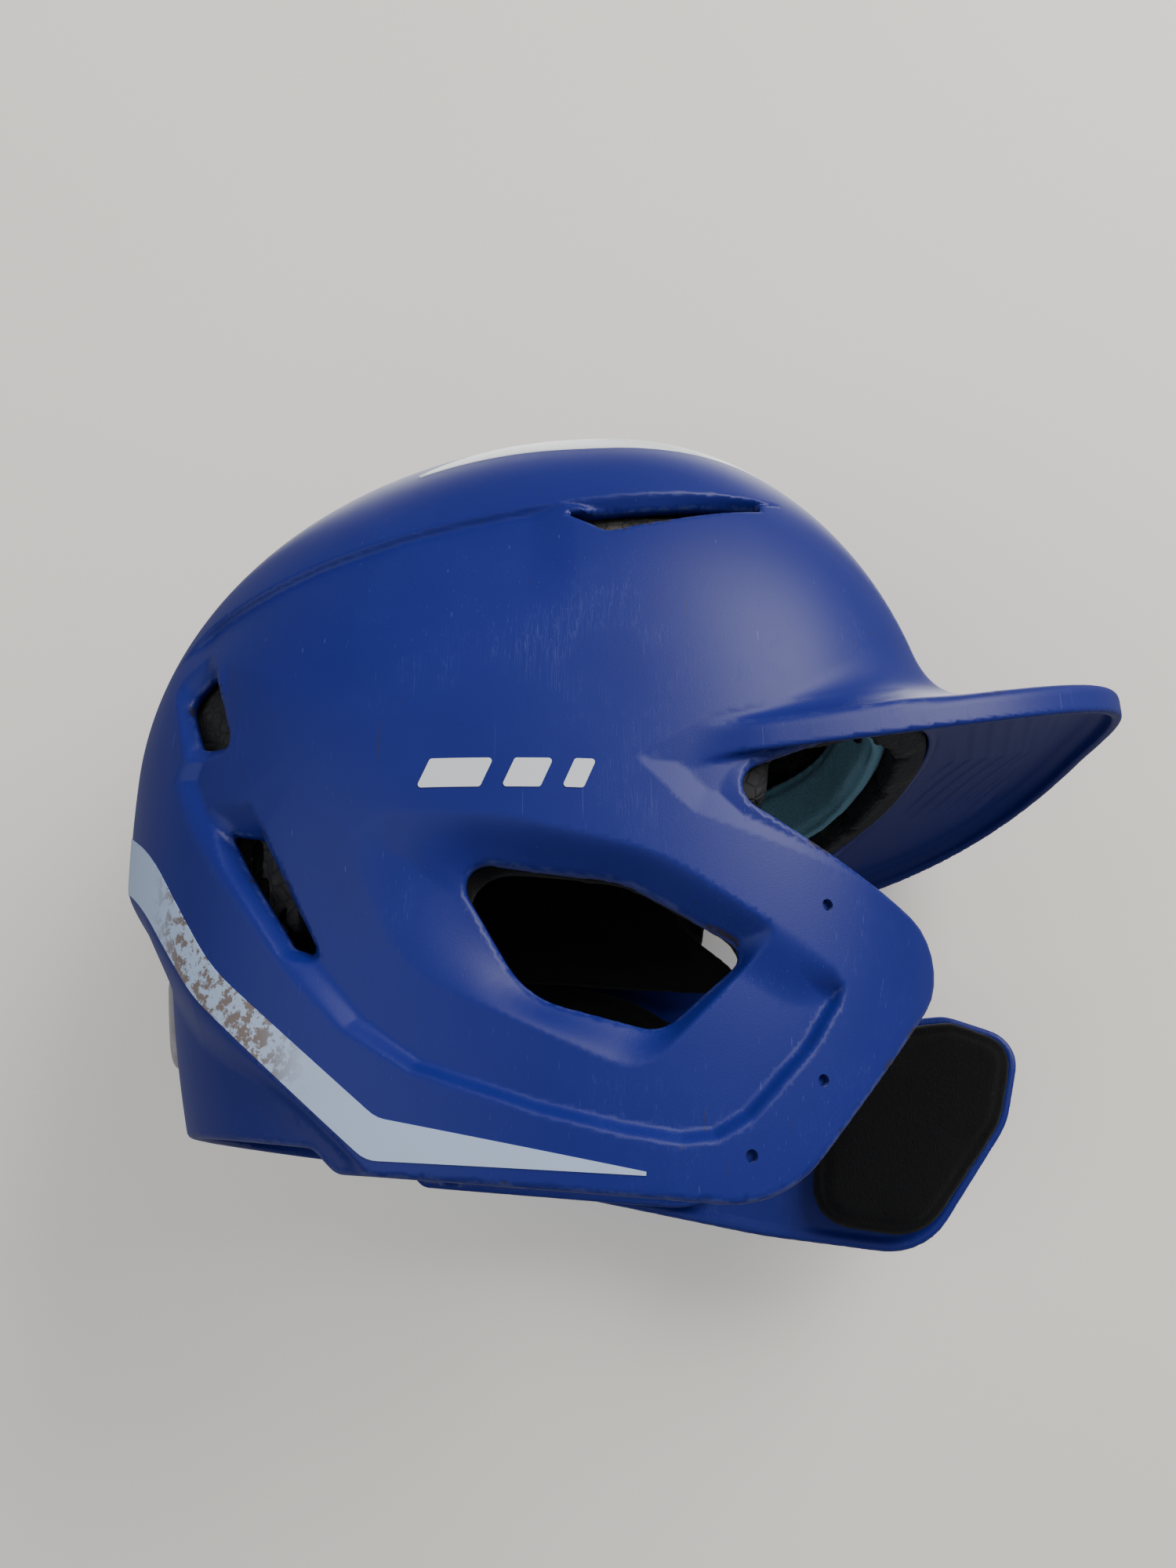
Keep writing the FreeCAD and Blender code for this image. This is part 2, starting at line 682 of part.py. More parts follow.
# ---- build and export -----------------------------------------------------------------------------


def main():
    fill_sheet()
    outer = dome("shell_outer", 0)
    inner = dome("shell_inner", size("wall"))
    make_shell(outer, inner)
    liner_top = size("wall") + size("liner_gap")
    liner_bottom = liner_top + size("liner_thickness")
    make_liner(dome("liner_outer", liner_top), dome("liner_inner", liner_bottom))
    pad_top = liner_bottom + size("pad_gap")
    make_pads(dome("pad_outer", pad_top), dome("pad_inner", pad_top + size("comfort_thickness")))
    make_jaw_guard()
    make_fasteners()
    make_badge()
    make_decals(outer)
    doc.recompute()
    failed = [o.Name for o in doc.Objects if "Invalid" in o.State or "Error" in o.State]
    if failed:
        raise RuntimeError(f"these objects failed: {failed}")
    os.makedirs("parts", exist_ok=True)
    for node, made in PIECES.items():
        shape = made.Shape
        if shape.isNull() or not shape.isValid() or not shape.Solids:
            raise RuntimeError(f"{node} has no valid solid")
        shape.exportStep(f"parts/{node}.step")
        print(node, len(shape.Solids), "solids", round(shape.Volume / 1000, 2), "cm3")


main()
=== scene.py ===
# %% [markdown]
# # A batting helmet with a jaw guard
#
# A batting helmet is a thin moulded shell with foam glued inside it. Almost nothing on it is flat: the dome,
# the dished panels round the ears, the vents and the brim all flow into each other. This notebook builds it
# in Blender round a CAD frame: the frame says where each piece goes and how big the whole may be.

# %% The frame
import math
import bmesh
import bpy
import numpy as np
from mathutils import Matrix, Vector
from mathutils.geometry import delaunay_2d_cdt


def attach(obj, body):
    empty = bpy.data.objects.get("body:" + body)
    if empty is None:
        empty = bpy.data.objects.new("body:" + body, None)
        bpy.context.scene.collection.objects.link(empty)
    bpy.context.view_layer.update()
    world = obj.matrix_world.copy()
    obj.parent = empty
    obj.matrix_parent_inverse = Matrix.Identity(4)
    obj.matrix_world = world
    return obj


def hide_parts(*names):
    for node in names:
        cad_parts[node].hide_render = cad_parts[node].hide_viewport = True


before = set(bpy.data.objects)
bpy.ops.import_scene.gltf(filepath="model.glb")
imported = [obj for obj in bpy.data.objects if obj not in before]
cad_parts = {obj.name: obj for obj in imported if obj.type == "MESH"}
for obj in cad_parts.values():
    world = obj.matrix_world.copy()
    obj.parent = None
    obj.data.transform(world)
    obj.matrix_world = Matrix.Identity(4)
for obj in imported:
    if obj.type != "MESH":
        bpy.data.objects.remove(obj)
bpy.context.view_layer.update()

MM = 0.001

# %% [markdown]
# ## Shapes as fields
#
# A piece can be made by pushing vertices about, by cutting solids with booleans, or by writing down a
# *field*: a formula that is negative inside the piece and positive outside. Booleans leave knife edges that
# are hard to round afterwards. With fields, "this and that" is a maximum and "this or that" a minimum, and
# a *smooth* maximum rounds the edge as it makes it, as a moulding tool does. So the hard pieces here are
# fields.

# %% Smooth minimum and maximum
def smooth_max(a, b, width):
    """The larger of two fields, rounded where they meet within width millimetres."""
    near = np.maximum(width - np.abs(a - b), 0) / width
    return np.maximum(a, b) + near * near * width / 4


def smooth_min(a, b, width):
    return -smooth_max(-a, -b, width)


def ramp(value, low, high):
    """0 below low, 1 above high, and an S curve between them."""
    t = np.clip((value - low) / (high - low), 0, 1)
    return t * t * (3 - 2 * t)


# %% [markdown]
# Outlines seen from the side are polygons with rounded corners. Each becomes a flat field too: the distance
# to the outline, negative inside it.

# %% Outlines
def rounded(corners, steps=7):
    """A closed polyline through corners (a, b, radius), each corner turned on an arc."""
    points = []
    count = len(corners)
    for i, (a, b, radius) in enumerate(corners):
        here = Vector((a, b))
        back = (Vector(corners[i - 1][:2]) - here).normalized()
        ahead = (Vector(corners[(i + 1) % count][:2]) - here).normalized()
        half = back.angle(ahead) / 2
        if radius <= 0 or half > math.pi / 2 - 0.01:
            points.append(here)
            continue
        centre = here + (back + ahead).normalized() * (radius / math.sin(half))
        start = here + back * (radius / math.tan(half)) - centre
        end = here + ahead * (radius / math.tan(half)) - centre
        turn = start.angle_signed(end)
        for k in range(steps + 1):
            points.append(centre + Matrix.Rotation(-turn * k / steps, 2) @ start)
    return np.array([tuple(p) for p in points])


def to_segment(a, b, start, end):
    """The distance to a segment, and how far along it the nearest point is, from 0 to 1."""
    run = end - start
    along = ((a - start[0]) * run[0] + (b - start[1]) * run[1]) / max(run @ run, 1e-9)
    along = np.clip(along, 0, 1)
    return np.hypot(a - start[0] - along * run[0], b - start[1] - along * run[1]), along


def outline(points):
    """The flat field of a closed polyline."""
    def field(a, b):
        shape = np.broadcast(a, b).shape
        nearest = np.full(shape, 1e9)
        inside = np.zeros(shape, bool)
        for start, end in zip(points, np.roll(points, -1, axis=0)):
            nearest = np.minimum(nearest, to_segment(a, b, start, end)[0])
            if start[1] != end[1]:
                crosses = (start[1] > b) != (end[1] > b)
                meets = (end[0] - start[0]) * (b - start[1]) / (end[1] - start[1]) + start[0]
                inside ^= crosses & (a < meets)
        return np.where(inside, -nearest, nearest)
    return field


def chart(field, low, high, cell=0.5):
    """Works a flat field out once on a fine grid, and reads it back by interpolation."""
    a = np.arange(low[0], high[0] + cell, cell)
    b = np.arange(low[1], high[1] + cell, cell)
    table = field(a[:, None], b[None, :])

    def read(x, z):
        i = np.clip((x - low[0]) / cell, 0, len(a) - 1.001)
        k = np.clip((z - low[1]) / cell, 0, len(b) - 1.001)
        i, k = np.broadcast_arrays(i, k)
        i0 = i.astype(int)
        k0 = k.astype(int)
        u = i - i0
        v = k - k0
        return ((table[i0, k0] * (1 - v) + table[i0, k0 + 1] * v) * (1 - u)
                + (table[i0 + 1, k0] * (1 - v) + table[i0 + 1, k0 + 1] * v) * u)
    return read


# %% [markdown]
# ## From a field to a mesh
#
# *Surface nets* put one vertex in every cell of a grid that the surface passes through, and join neighbours
# with quads. The vertices then slide onto the exact surface along the field's slope, and the same slope gives
# the shading normals, so a coarse net still shades like a smooth moulding.

# %% Surface nets
def slope(field, points, step=0.35):
    """The field's value and gradient at many points, by central differences."""
    x, y, z = points.T
    gradient = np.stack([
        field(x + step, y, z) - field(x - step, y, z),
        field(x, y + step, z) - field(x, y - step, z),
        field(x, y, z + step) - field(x, y, z - step),
    ], axis=1) / (2 * step)
    return field(x, y, z), gradient


def settle(field, points, rounds=3, reach=0.8):
    """Slides points onto the surface, never further than reach in one round."""
    for _ in range(rounds):
        value, gradient = slope(field, points)
        move = value[:, None] * gradient / np.maximum((gradient**2).sum(1), 0.05)[:, None]
        length = np.linalg.norm(move, axis=1)
        points = points - move * np.minimum(1, reach / np.maximum(length, 1e-9))[:, None]
    return points


def net(field, low, high, cell):
    """Vertices and quads of the surface of a field inside a box, all in millimetres."""
    low = np.array(low, float)
    count = np.ceil((np.array(high) - low) / cell).astype(int) + 1
    x, y, z = (low[i] + cell * np.arange(count[i]) for i in range(3))
    value = field(x[:, None, None], y[None, :, None], z[None, None, :])
    value = np.broadcast_to(value, count).astype(np.float32)
    inside = value < 0
    corners = sum(inside[i:count[0] - 1 + i, j:count[1] - 1 + j, k:count[2] - 1 + k].astype(np.int8)
                  for i in (0, 1) for j in (0, 1) for k in (0, 1))
    active = (corners > 0) & (corners < 8)
    number = np.full(active.shape, -1)
    number[active] = np.arange(active.sum())
    total = np.zeros((active.sum(), 3))
    hits = np.zeros(active.sum())
    quads = []
    for axis in range(3):
        first = [slice(1, n - 1) for n in count]
        second = list(first)
        first[axis] = slice(0, count[axis] - 1)
        second[axis] = slice(1, count[axis])
        here = inside[tuple(first)]
        base = np.argwhere(here != inside[tuple(second)])
        base[:, [i for i in range(3) if i != axis]] += 1
        after = base.copy()
        after[:, axis] += 1
        start = value[tuple(base.T)]
        end = value[tuple(after.T)]
        point = low + cell * base
        point[:, axis] += cell * start / (start - end)
        one, two = [(axis + 1) % 3, (axis + 2) % 3]
        ring = []
        for d1, d2 in ((-1, -1), (0, -1), (0, 0), (-1, 0)):
            around = base.copy()
            around[:, one] += d1
            around[:, two] += d2
            index = number[tuple(around.T)]
            ring.append(index)
            for i in range(3):
                total[:, i] += np.bincount(index, point[:, i], len(total))
            hits += np.bincount(index, minlength=len(total))
        ring = np.stack(ring, axis=1)
        ring[start > 0] = ring[start > 0][:, ::-1]
        quads.append(ring)
    return total / hits[:, None], np.concatenate(quads)


def new_object(name, points, faces):
    """An object from points in millimetres."""
    mesh = bpy.data.meshes.new(name)
    mesh.from_pydata((np.asarray(points) * MM).tolist(), [], [list(map(int, f)) for f in faces])
    mesh.validate()
    mesh.update()
    made = bpy.data.objects.new(name, mesh)
    bpy.context.scene.collection.objects.link(made)
    return made


def read_points(mesh):
    flat = np.empty(len(mesh.vertices) * 3)
    mesh.vertices.foreach_get("co", flat)
    return flat.reshape(-1, 3) / MM


def apply_modifiers(made):
    graph = bpy.context.evaluated_depsgraph_get()
    mesh = bpy.data.meshes.new_from_object(made.evaluated_get(graph))
    made.modifiers.clear()
    made.data = mesh


def shade_from(field, made):
    """Smooth shading whose normals are the field's own slope."""
    mesh = made.data
    normal = slope(field, read_points(mesh))[1]
    normal /= np.maximum(np.linalg.norm(normal, axis=1), 1e-9)[:, None]
    mesh.shade_smooth()
    mesh.normals_split_custom_set_from_vertices(normal.tolist())
    mesh.update()


def onto_edge(points, one, two, level, reach):
    """Pulls points near the corner of two fields onto its line, where both fields equal level."""
    first, first_slope = slope(one, points)
    second, second_slope = slope(two, points)
    a = first - level
    b = second - level
    close = (np.abs(a) < reach) & (np.abs(b) < reach)
    g, h, a, b = first_slope[close], second_slope[close], a[close], b[close]
    gg, hh, gh = (g * g).sum(1), (h * h).sum(1), (g * h).sum(1)
    flat = np.maximum(gg * hh - gh * gh, 0.15 * gg * hh + 1e-9)
    p = (a * hh - b * gh) / flat
    q = (b * gg - a * gh) / flat
    points = points.copy()
    points[close] -= p[:, None] * g + q[:, None] * h
    return points


def moulded(name, field, low, high, cell, keep=1.0, edges=()):
    """A piece from a field: netted, thinned out to a share of its faces, settled and smoothly shaded.
    Each of edges is a pair of fields and the level on their corner's rounded line."""
    points, quads = net(field, low, high, cell)
    points = settle(field, points)
    for _ in range(2):
        for one, two, level in edges:
            points = onto_edge(points, one, two, level, 0.55 * cell)
    made = new_object(name, points, quads)
    if keep < 1:
        thin = made.modifiers.new("thin", "DECIMATE")
        thin.ratio = keep
        apply_modifiers(made)
    mesh = made.data
    points = settle(field, read_points(mesh), rounds=2, reach=0.3)
    for one, two, level in edges:
        points = onto_edge(points, one, two, level, 0.5 * cell)
    mesh.vertices.foreach_set("co", (points * MM).ravel())
    shade_from(field, made)
    print(name, len(mesh.vertices), "vertices", len(mesh.polygons), "faces")
    return made


# %% [markdown]
# ## The dome
#
# The head sits in an egg that is longer behind than in front and much taller below the widest level than
# above it. One power law covers all of it, so the shell, the foam and the pads are all depths below it.

# %% The dome's field
DOME_X = 6.5
DOME_Z = 127.0
FRONT, BACK = 98.5, 139.0
HALF_WIDTH = 95.0
RISE, DROP = 115.0, 230.0
ROUNDNESS = 2.5
WALL = 3.2


def dome(x, y, z):
    """Millimetres outside the dome, exact at its surface and close to it within some 20 mm."""
    a = np.where(x > DOME_X, FRONT, BACK)
    c = np.where(z > DOME_Z, RISE, DROP)
    u = (x - DOME_X) / a
    w = (z - DOME_Z) / c
    reach = np.maximum(np.hypot(u, w), 1e-3)
    v = np.abs(y) / HALF_WIDTH
    level = np.maximum(reach**ROUNDNESS + v**ROUNDNESS, 1e-6)
    rho = level ** (1 / ROUNDNESS)
    steep = reach ** (ROUNDNESS - 2) * np.hypot(u / a, w / c)
    side = v ** (ROUNDNESS - 1) / HALF_WIDTH
    return (rho - 1) / np.maximum(rho ** (1 - ROUNDNESS) * np.sqrt(steep**2 + side**2), 1e-4)


def dome_half_width(x, z):
    a = FRONT if x > DOME_X else BACK
    c = RISE if z > DOME_Z else DROP
    reach = math.hypot((x - DOME_X) / a, (z - DOME_Z) / c)
    return HALF_WIDTH * (1 - reach**ROUNDNESS) ** (1 / ROUNDNESS)


print("dome:", FRONT + BACK, "mm long,", 2 * HALF_WIDTH, "mm wide, top at", DOME_Z + RISE, "mm")


# %% [markdown]
# ## The dished panels, seen from the side
#
# The shell is stepped and dished to make it stiff. Each dish is a depth below the dome, drawn in side view:
# a panel behind and under the ear with a sloping kerb, a funnel down to the ear hole, a bevel round each
# vent, a crease along the crown, and the nape, which tucks in under the rear bumper.

# %% Side outlines, in millimetres as (forward, up, corner radius)
SHELL_EDGE = [
    (170, 157, 0), (104, 141, 20), (58, 120.5, 30), (29, 107, 6), (93.4, 71.3, 14), (42.1, 13.2, 28),
    (-56, 20.6, 5), (-62, 26.2, 4), (-106, 31, 4), (-170, 31, 0), (-170, 270, 0), (170, 270, 0),
]
EAR_HOLE = [(-33, 90, 5), (-14, 58.5, 22), (16.5, 50.5, 9), (37, 68.5, 3.5), (8, 84.5, 30)]
EAR_FUNNEL = [
    (-61, 101.5, 9), (-20, 98.5, 60), (16, 89.5, 50), (43.5, 72.5, 3), (12, 40.5, 12), (-42, 64, 34),
]
PANEL = [  # the third number is the relative width of the slope there, not a radius
    (-107, 116, 8), (-100, 102, 8), (-89, 87, 8), (-79, 75, 8), (-69, 63, 7), (-55, 50, 5),
    (-39, 41, 3.2), (-11, 32, 3), (8, 27.5, 3), (20, 25.7, 3), (28, 26.5, 3), (36, 31, 3), (50.5, 46, 3),
    (57.5, 56.5, 3), (58.8, 60.5, 3), (57, 64.5, 6), (48, 71, 12), (31, 81, 12), (14, 90, 12),
    (-11, 97, 12), (-38, 100, 30), (-60, 128, 50), (-95, 150, 12),
]
FRONT_VENT = [
    (-6, 183, 0.6), (5, 176.2, 3), (24, 181.8, 60), (46, 189.2, 0.6), (46, 192, 0.6), (18, 186.6, 90),
]
FRONT_VENT_BEVEL = [(-9, 187, 0.5), (8, 181, 3), (24, 184, 9), (57, 195.3, 0.5), (19, 191, 90)]
UPPER_VENT = [(-98.6, 147.5, 1.5), (-106.8, 141.5, 5), (-99.6, 125.4, 2), (-90.2, 124.4, 1.5)]
UPPER_VENT_BEVEL = [(-101, 154.5, 2), (-112, 146.5, 6), (-103.5, 121, 4), (-88.6, 120.6, 3)]
LOWER_VENT = [(-88.6, 100.8, 0.6), (-79, 98.2, 2), (-62.4, 68.9, 0.8), (-68.6, 70.8, 2), (-83, 91.5, 20)]
LOWER_VENT_BEVEL = [(-95.5, 108.5, 1.5), (-82.5, 107, 2.5), (-60.2, 66, 2), (-70, 66.5, 6), (-89, 92, 20)]
CREASE = [(-116, 156), (-102, 164), (-73, 173), (-44, 180), (-8, 187)]
TUCK_TOP = [
    (-170, 112), (-131, 99), (-116, 88), (-105, 75), (-94, 61.5), (-84, 52), (-58, 30.5), (-46, 20),
]
NOTCH_BEVEL = [
    (10.5, 112.5, 2), (30, 124, 20), (80, 136, 0), (60, 108, 0), (30, 106, 3), (74, 83, 0), (24, 99, 9),
]
print("side view:", len(PANEL), "corners on the panel,", len(SHELL_EDGE), "on the shell's edge")

# %% [markdown]
# A mould is cut to depths, and these functions give them. Where the outside steps in quickly, the inside has
# to start earlier, or the wall would be thin on the slope. So the inner face reads the deepest value nearby.
# Every flat field is worked out once on a grid, because the net asks for it millions of times.

# %% Depths below the dome
SLOPE_SPREAD = 1.25
PANEL_DEPTH, EAR_DEPTH, FRONT_VENT_DEPTH, REAR_VENT_DEPTH, NOTCH_DEPTH = 3.6, 5.0, 3.6, 3.0, 1.3
CREASE_DEPTH = 2.0


def sloped(corners, depth):
    """A dish whose side slopes vary evenly in width from corner to corner of the polygon."""
    points = np.array([c[:2] for c in corners], float)
    widths = [c[2] for c in corners]
    field = outline(points)

    def dish(x, z):
        share = np.full(np.broadcast(x, z).shape, 1.0)
        sides = zip(points, np.roll(points, -1, axis=0), widths, widths[1:] + widths[:1])
        for start, end, first, last in sides:
            distance, along = to_segment(x, z, start, end)
            width = SLOPE_SPREAD * (first + (last - first) * along)
            share = np.minimum(share, distance / width)
        share = np.where(field(x, z) < 0, share, 0)
        return depth * share * share * (3 - 2 * share)
    return dish


def funnel(rim, hole, depth):
    """A dish that slopes from its rim straight down to the edge of a hole."""
    rim = outline(rounded(rim))
    hole = outline(rounded(hole))

    def dish(x, z):
        down = np.maximum(-rim(x, z), 0)
        away = np.maximum(hole(x, z), 0)
        share = down / np.maximum(down + away, 1e-3)
        return depth * (0.6 * share + 0.4 * share * share * (3 - 2 * share))
    return dish


def crease_step(x, z):
    """The side panel lies a little under the crown, along a line from the rear vent to the front one."""
    line = np.array(CREASE, float)
    below = (np.interp(x, line[:, 0], line[:, 1]) - z) * 0.94
    fade = ramp(x, line[0, 0], line[0, 0] + 14) * (1 - ramp(x, -16, -2))
    return CREASE_DEPTH * ramp(below, -0.2, 2.4) * (1 - ramp(below, 2, 42)) * fade


def nape_share(x, z):
    """1 where the nape is stepped in under the rear bumper, 0 above that line."""
    line = np.array(TUCK_TOP, float)
    below = (np.interp(x, line[:, 0], line[:, 1]) - z) * 0.7
    return ramp(below, 0, 2 + 8 * ramp(-x, 60, 110)) * ramp(-x, 44, 54)


panel_dish = sloped(PANEL, PANEL_DEPTH)
ear_dish = funnel(EAR_FUNNEL, EAR_HOLE, EAR_DEPTH)
vent_dishes = [
    funnel(FRONT_VENT_BEVEL, FRONT_VENT, FRONT_VENT_DEPTH),
    funnel(UPPER_VENT_BEVEL, UPPER_VENT, REAR_VENT_DEPTH),
    funnel(LOWER_VENT_BEVEL, LOWER_VENT, REAR_VENT_DEPTH),
]
notch_rim = outline(rounded(NOTCH_BEVEL))
shell_rim = outline(rounded(SHELL_EDGE))
openings = [outline(rounded(o)) for o in (EAR_HOLE, FRONT_VENT, UPPER_VENT, LOWER_VENT)]


def dish_depth(x, z):
    depth = panel_dish(x, z) + ear_dish(x, z) + crease_step(x, z)
    for dish in vent_dishes:
        depth = depth + dish(x, z)
    return depth + NOTCH_DEPTH * np.clip(-notch_rim(x, z) / 7, 0, 1)


def trimmed_away(x, z):
    """Positive where the shell is cut away: outside its edge, and in the ear hole and vents."""
    away = shell_rim(x, z)
    for opening in openings:
        away = np.maximum(away, -opening(x, z))
    return away


def spread(field, reach):
    """The greatest value of a field within reach: the inside of a step starts before its outside."""
    turns = [(0, 0)] + [(math.cos(k * math.pi / 4), math.sin(k * math.pi / 4)) for k in range(8)]
    return lambda x, z: np.maximum.reduce([field(x + reach * u, z + reach * v) for u, v in turns])


side_low, side_high = (-140.0, 5.0), (165.0, 250.0)
away_at = chart(trimmed_away, side_low, side_high)
depth_at = chart(dish_depth, side_low, side_high)
deep_inside_at = chart(spread(depth_at, 1.9), side_low, side_high)
nape_at = chart(nape_share, side_low, side_high)
nape_inside_at = chart(spread(nape_at, 2.8), side_low, side_high)
by_the_ear = depth_at(np.array([-20.0]), np.array([87.0]))[0]
print("deepest dish:", round(float(by_the_ear), 1), "mm by the ear hole")


# %% [markdown]
# The badge's niche is on the back, where side view shows nothing, so it is drawn as seen from behind.

# %% The nape's niche, and the skin with everything in it
NAPE_STEP = 12.0
NICHE_DEPTH = 1.6
NICHE = [(-30, 46, 7), (30, 46, 7), (27, 82, 7), (-27, 82, 7)]
niche_rim = outline(rounded(NICHE))


def niche_depth(x, y, z):
    return NICHE_DEPTH * ramp(-niche_rim(y, z), 0, 2.5) * (x < -60)


def skin(x, y, z):
    """Millimetres outside the shell's moulded outer face."""
    return dome(x - NAPE_STEP * nape_at(x, z), y, z) + depth_at(x, z) + niche_depth(x, y, z)


def inner_face(x, y, z):
    """Millimetres inside the shell's inner face."""
    face = dome(x - NAPE_STEP * nape_inside_at(x, z), y, z)
    return -(face + deep_inside_at(x, z) + niche_depth(x, y, z) + WALL)


# %% [markdown]
# ## The brim
#
# In plan the brim is a superellipse, squarer than an ellipse. It is arched across, rises a little towards
# its tip, and has a deep lip all round that keeps the thin sheet stiff. Where it leaves the dome a wide
# hollow fillet spreads the load: that fillet is just a wide smooth minimum.

# %% The brim's fields
BRIM_TIP = 158.4
BRIM_CENTRE = 44.9
BRIM_HALF = 94.8
BRIM_POWER = 2.43
BRIM_TOP = 156.5
BRIM_LIP = 8.2
BRIM_SKIN = 3.0
BRIM_ARCH = 10.4        # how far the brim falls 70 mm off the middle
BRIM_FALL = 0.13        # its slope, falling towards the shell
RIB_PITCH, RIB_HEIGHT = 5.6, 0.55


def brim_edge(x, y):
    """Millimetres outside the brim's edge, in plan."""
    long = BRIM_TIP - BRIM_CENTRE
    u = np.maximum(x - BRIM_CENTRE, 0) / long
    v = np.abs(y) / BRIM_HALF
    level = np.maximum(u**BRIM_POWER + v**BRIM_POWER, 1e-6)
    rho = level ** (1 / BRIM_POWER)
    steep = np.hypot(u ** (BRIM_POWER - 1) / long, v ** (BRIM_POWER - 1) / BRIM_HALF)
    nose = (rho - 1) / np.maximum(rho ** (1 - BRIM_POWER) * steep, 1e-4)
    behind = np.maximum(BRIM_CENTRE - x, 0)
    return np.maximum(nose + 6.5 * (behind / 30) ** 2, behind - 36)


def brim_top(x, y, z):
    """Millimetres above the brim's top face."""
    return (z - BRIM_TOP + BRIM_ARCH * (y / 70) ** 2 + BRIM_FALL * (BRIM_TIP - x)) * 0.985


def brim_ribs(x, y):
    """Shallow ribs across the underside, near the tip."""
    wave = 0.5 + 0.5 * np.cos(2 * math.pi * (x + 0.3 * np.abs(y)) / RIB_PITCH)
    return RIB_HEIGHT * wave * ramp(x, 106, 112) * (1 - ramp(x, 138, 144)) * (1 - ramp(np.abs(y), 34, 52))


def shell_field(x, y, z):
    face = skin(x, y, z)
    edge = brim_edge(x, y)
    top = brim_top(x, y, z)
    bowl = smooth_max(face, away_at(x, z), 1.5)
    slab = smooth_max(smooth_max(top, edge, 3.0), -(top + BRIM_LIP), 1.6)
    under = smooth_max(top + BRIM_SKIN + brim_ribs(x, y), edge + BRIM_SKIN, 5.0)
    brim = smooth_max(slab, -under, 1.4)
    fillet = 2.5 + 17 * ramp(top, -7, 0) * ramp(x, 34, 84)
    return smooth_max(smooth_min(bowl, brim, fillet), inner_face(x, y, z), 1.3)


# %% [markdown]
# The real shell is injected in one shot, and here it is one net too. A net rounds off sharp corners by
# chance, so the vertices beside the cut rims are pulled onto the corner line first.

# %% The shell
BLUE = "shell_plastic"


def dress(made, slot, nodes=(), body="root"):
    """What every piece gets: the body that it rides on, and the CAD nodes it stands for are hidden; slot is
    not used.
    """
    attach(made, body)
    if nodes:
        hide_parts(*nodes)
    return made


def cut_rim(x, y, z):
    return away_at(x, z) + 0 * y


shell_edges = [(skin, cut_rim, -0.38), (inner_face, cut_rim, -0.33)]
shell = moulded("helmet_shell", shell_field, (-136, -99, 8), (162, 99, 246), 1.15, keep=0.45,
                edges=shell_edges)
dress(shell, BLUE, ["shell"])

# %% [markdown]
# Three screws hold the jaw guard on the left flap. The right flap carries three small blind dimples in the
# same places, so that a guard can go there instead. They are smaller than the net's cells, so they are
# drilled with a boolean once the shell is a mesh.

# %% Drilling the flaps
BOLTS = [(55, 79), (52, 40), (35, 24)]
BOLT_RADIUS = 2.3
PILOT_RADIUS, PILOT_DEPTH = 1.4, 1.6
BOLT_DEPTH = 12
DRILL_START = 8         # how far outside the skin a drill starts


def bolt_axis(x, z, side):
    """A bolt's point on a flap and the flap's outward direction there: side is -1 right, 1 left."""
    point = np.array([x, side * dome_half_width(x, z), z])
    way = slope(dome, point[None])[1][0]
    return point, way / np.linalg.norm(way)


def drill(name, side, radius, deep):
    """One cutter with a drill at each bolt place, from deep under the skin to well outside it."""
    cutter = bmesh.new()
    for place in BOLTS:
        point, way = bolt_axis(*place, side)
        middle = point + way * (DRILL_START - deep) / 2 - way * float(depth_at(place[0], place[1]))
        turn = Vector(way).to_track_quat("Z", "Y").to_matrix().to_4x4()
        place_it = Matrix.Translation(Vector(middle * MM)) @ turn
        bmesh.ops.create_cone(cutter, cap_ends=True, segments=24, radius1=radius * MM, radius2=radius * MM,
                              depth=(DRILL_START + deep) * MM, matrix=place_it)
    mesh = bpy.data.meshes.new(name)
    cutter.to_mesh(mesh)
    cutter.free()
    made = bpy.data.objects.new(name, mesh)
    bpy.context.scene.collection.objects.link(made)
    return made


pilots = drill("pilots", -1, PILOT_RADIUS, PILOT_DEPTH)
bolt_holes = drill("bolt_holes", 1, BOLT_RADIUS, BOLT_DEPTH)
for cutter in (pilots, bolt_holes):
    hole = shell.modifiers.new(cutter.name, "BOOLEAN")
    hole.operation = "DIFFERENCE"
    hole.solver = "EXACT"
    hole.object = cutter
    apply_modifiers(shell)
    bpy.data.objects.remove(cutter)
shade_from(shell_field, shell)
print("shell drilled:", len(shell.data.polygons), "faces")


# %% [markdown]
# ## The jaw guard
#
# The guard is a flat moulding bolted outside the left ear flap. It hugs the flap at its root and runs on
# forwards past the mouth with a slight inward bend. It is drawn in side view as one outline, and its rim is
# rolled, so the field is the distance to its mid surface, met with the outline by a wide smooth maximum.

# %% The jaw guard
JAW_GUARD = [
    (-9, 18.5, 3), (60, 5, 200), (113, -1.5, 24), (143.5, 41, 30), (151, 69, 12), (127, 78.5, 14),
    (88, 76, 30), (53, 92.5, 6), (45, 80.5, 8), (62, 60, 8), (33, 27.5, 9), (-9, 25, 3),
]
GUARD_WALL = 3.4
GUARD_GAP = 0.3
GUARD_ROLL = 1.2        # twice how far the rim turns in towards the flap
CHEEK_START, CHEEK_HALF_WIDTH, CHEEK_SLOPE, CHEEK_BEND = 50, 86, 0.14, 0.0006


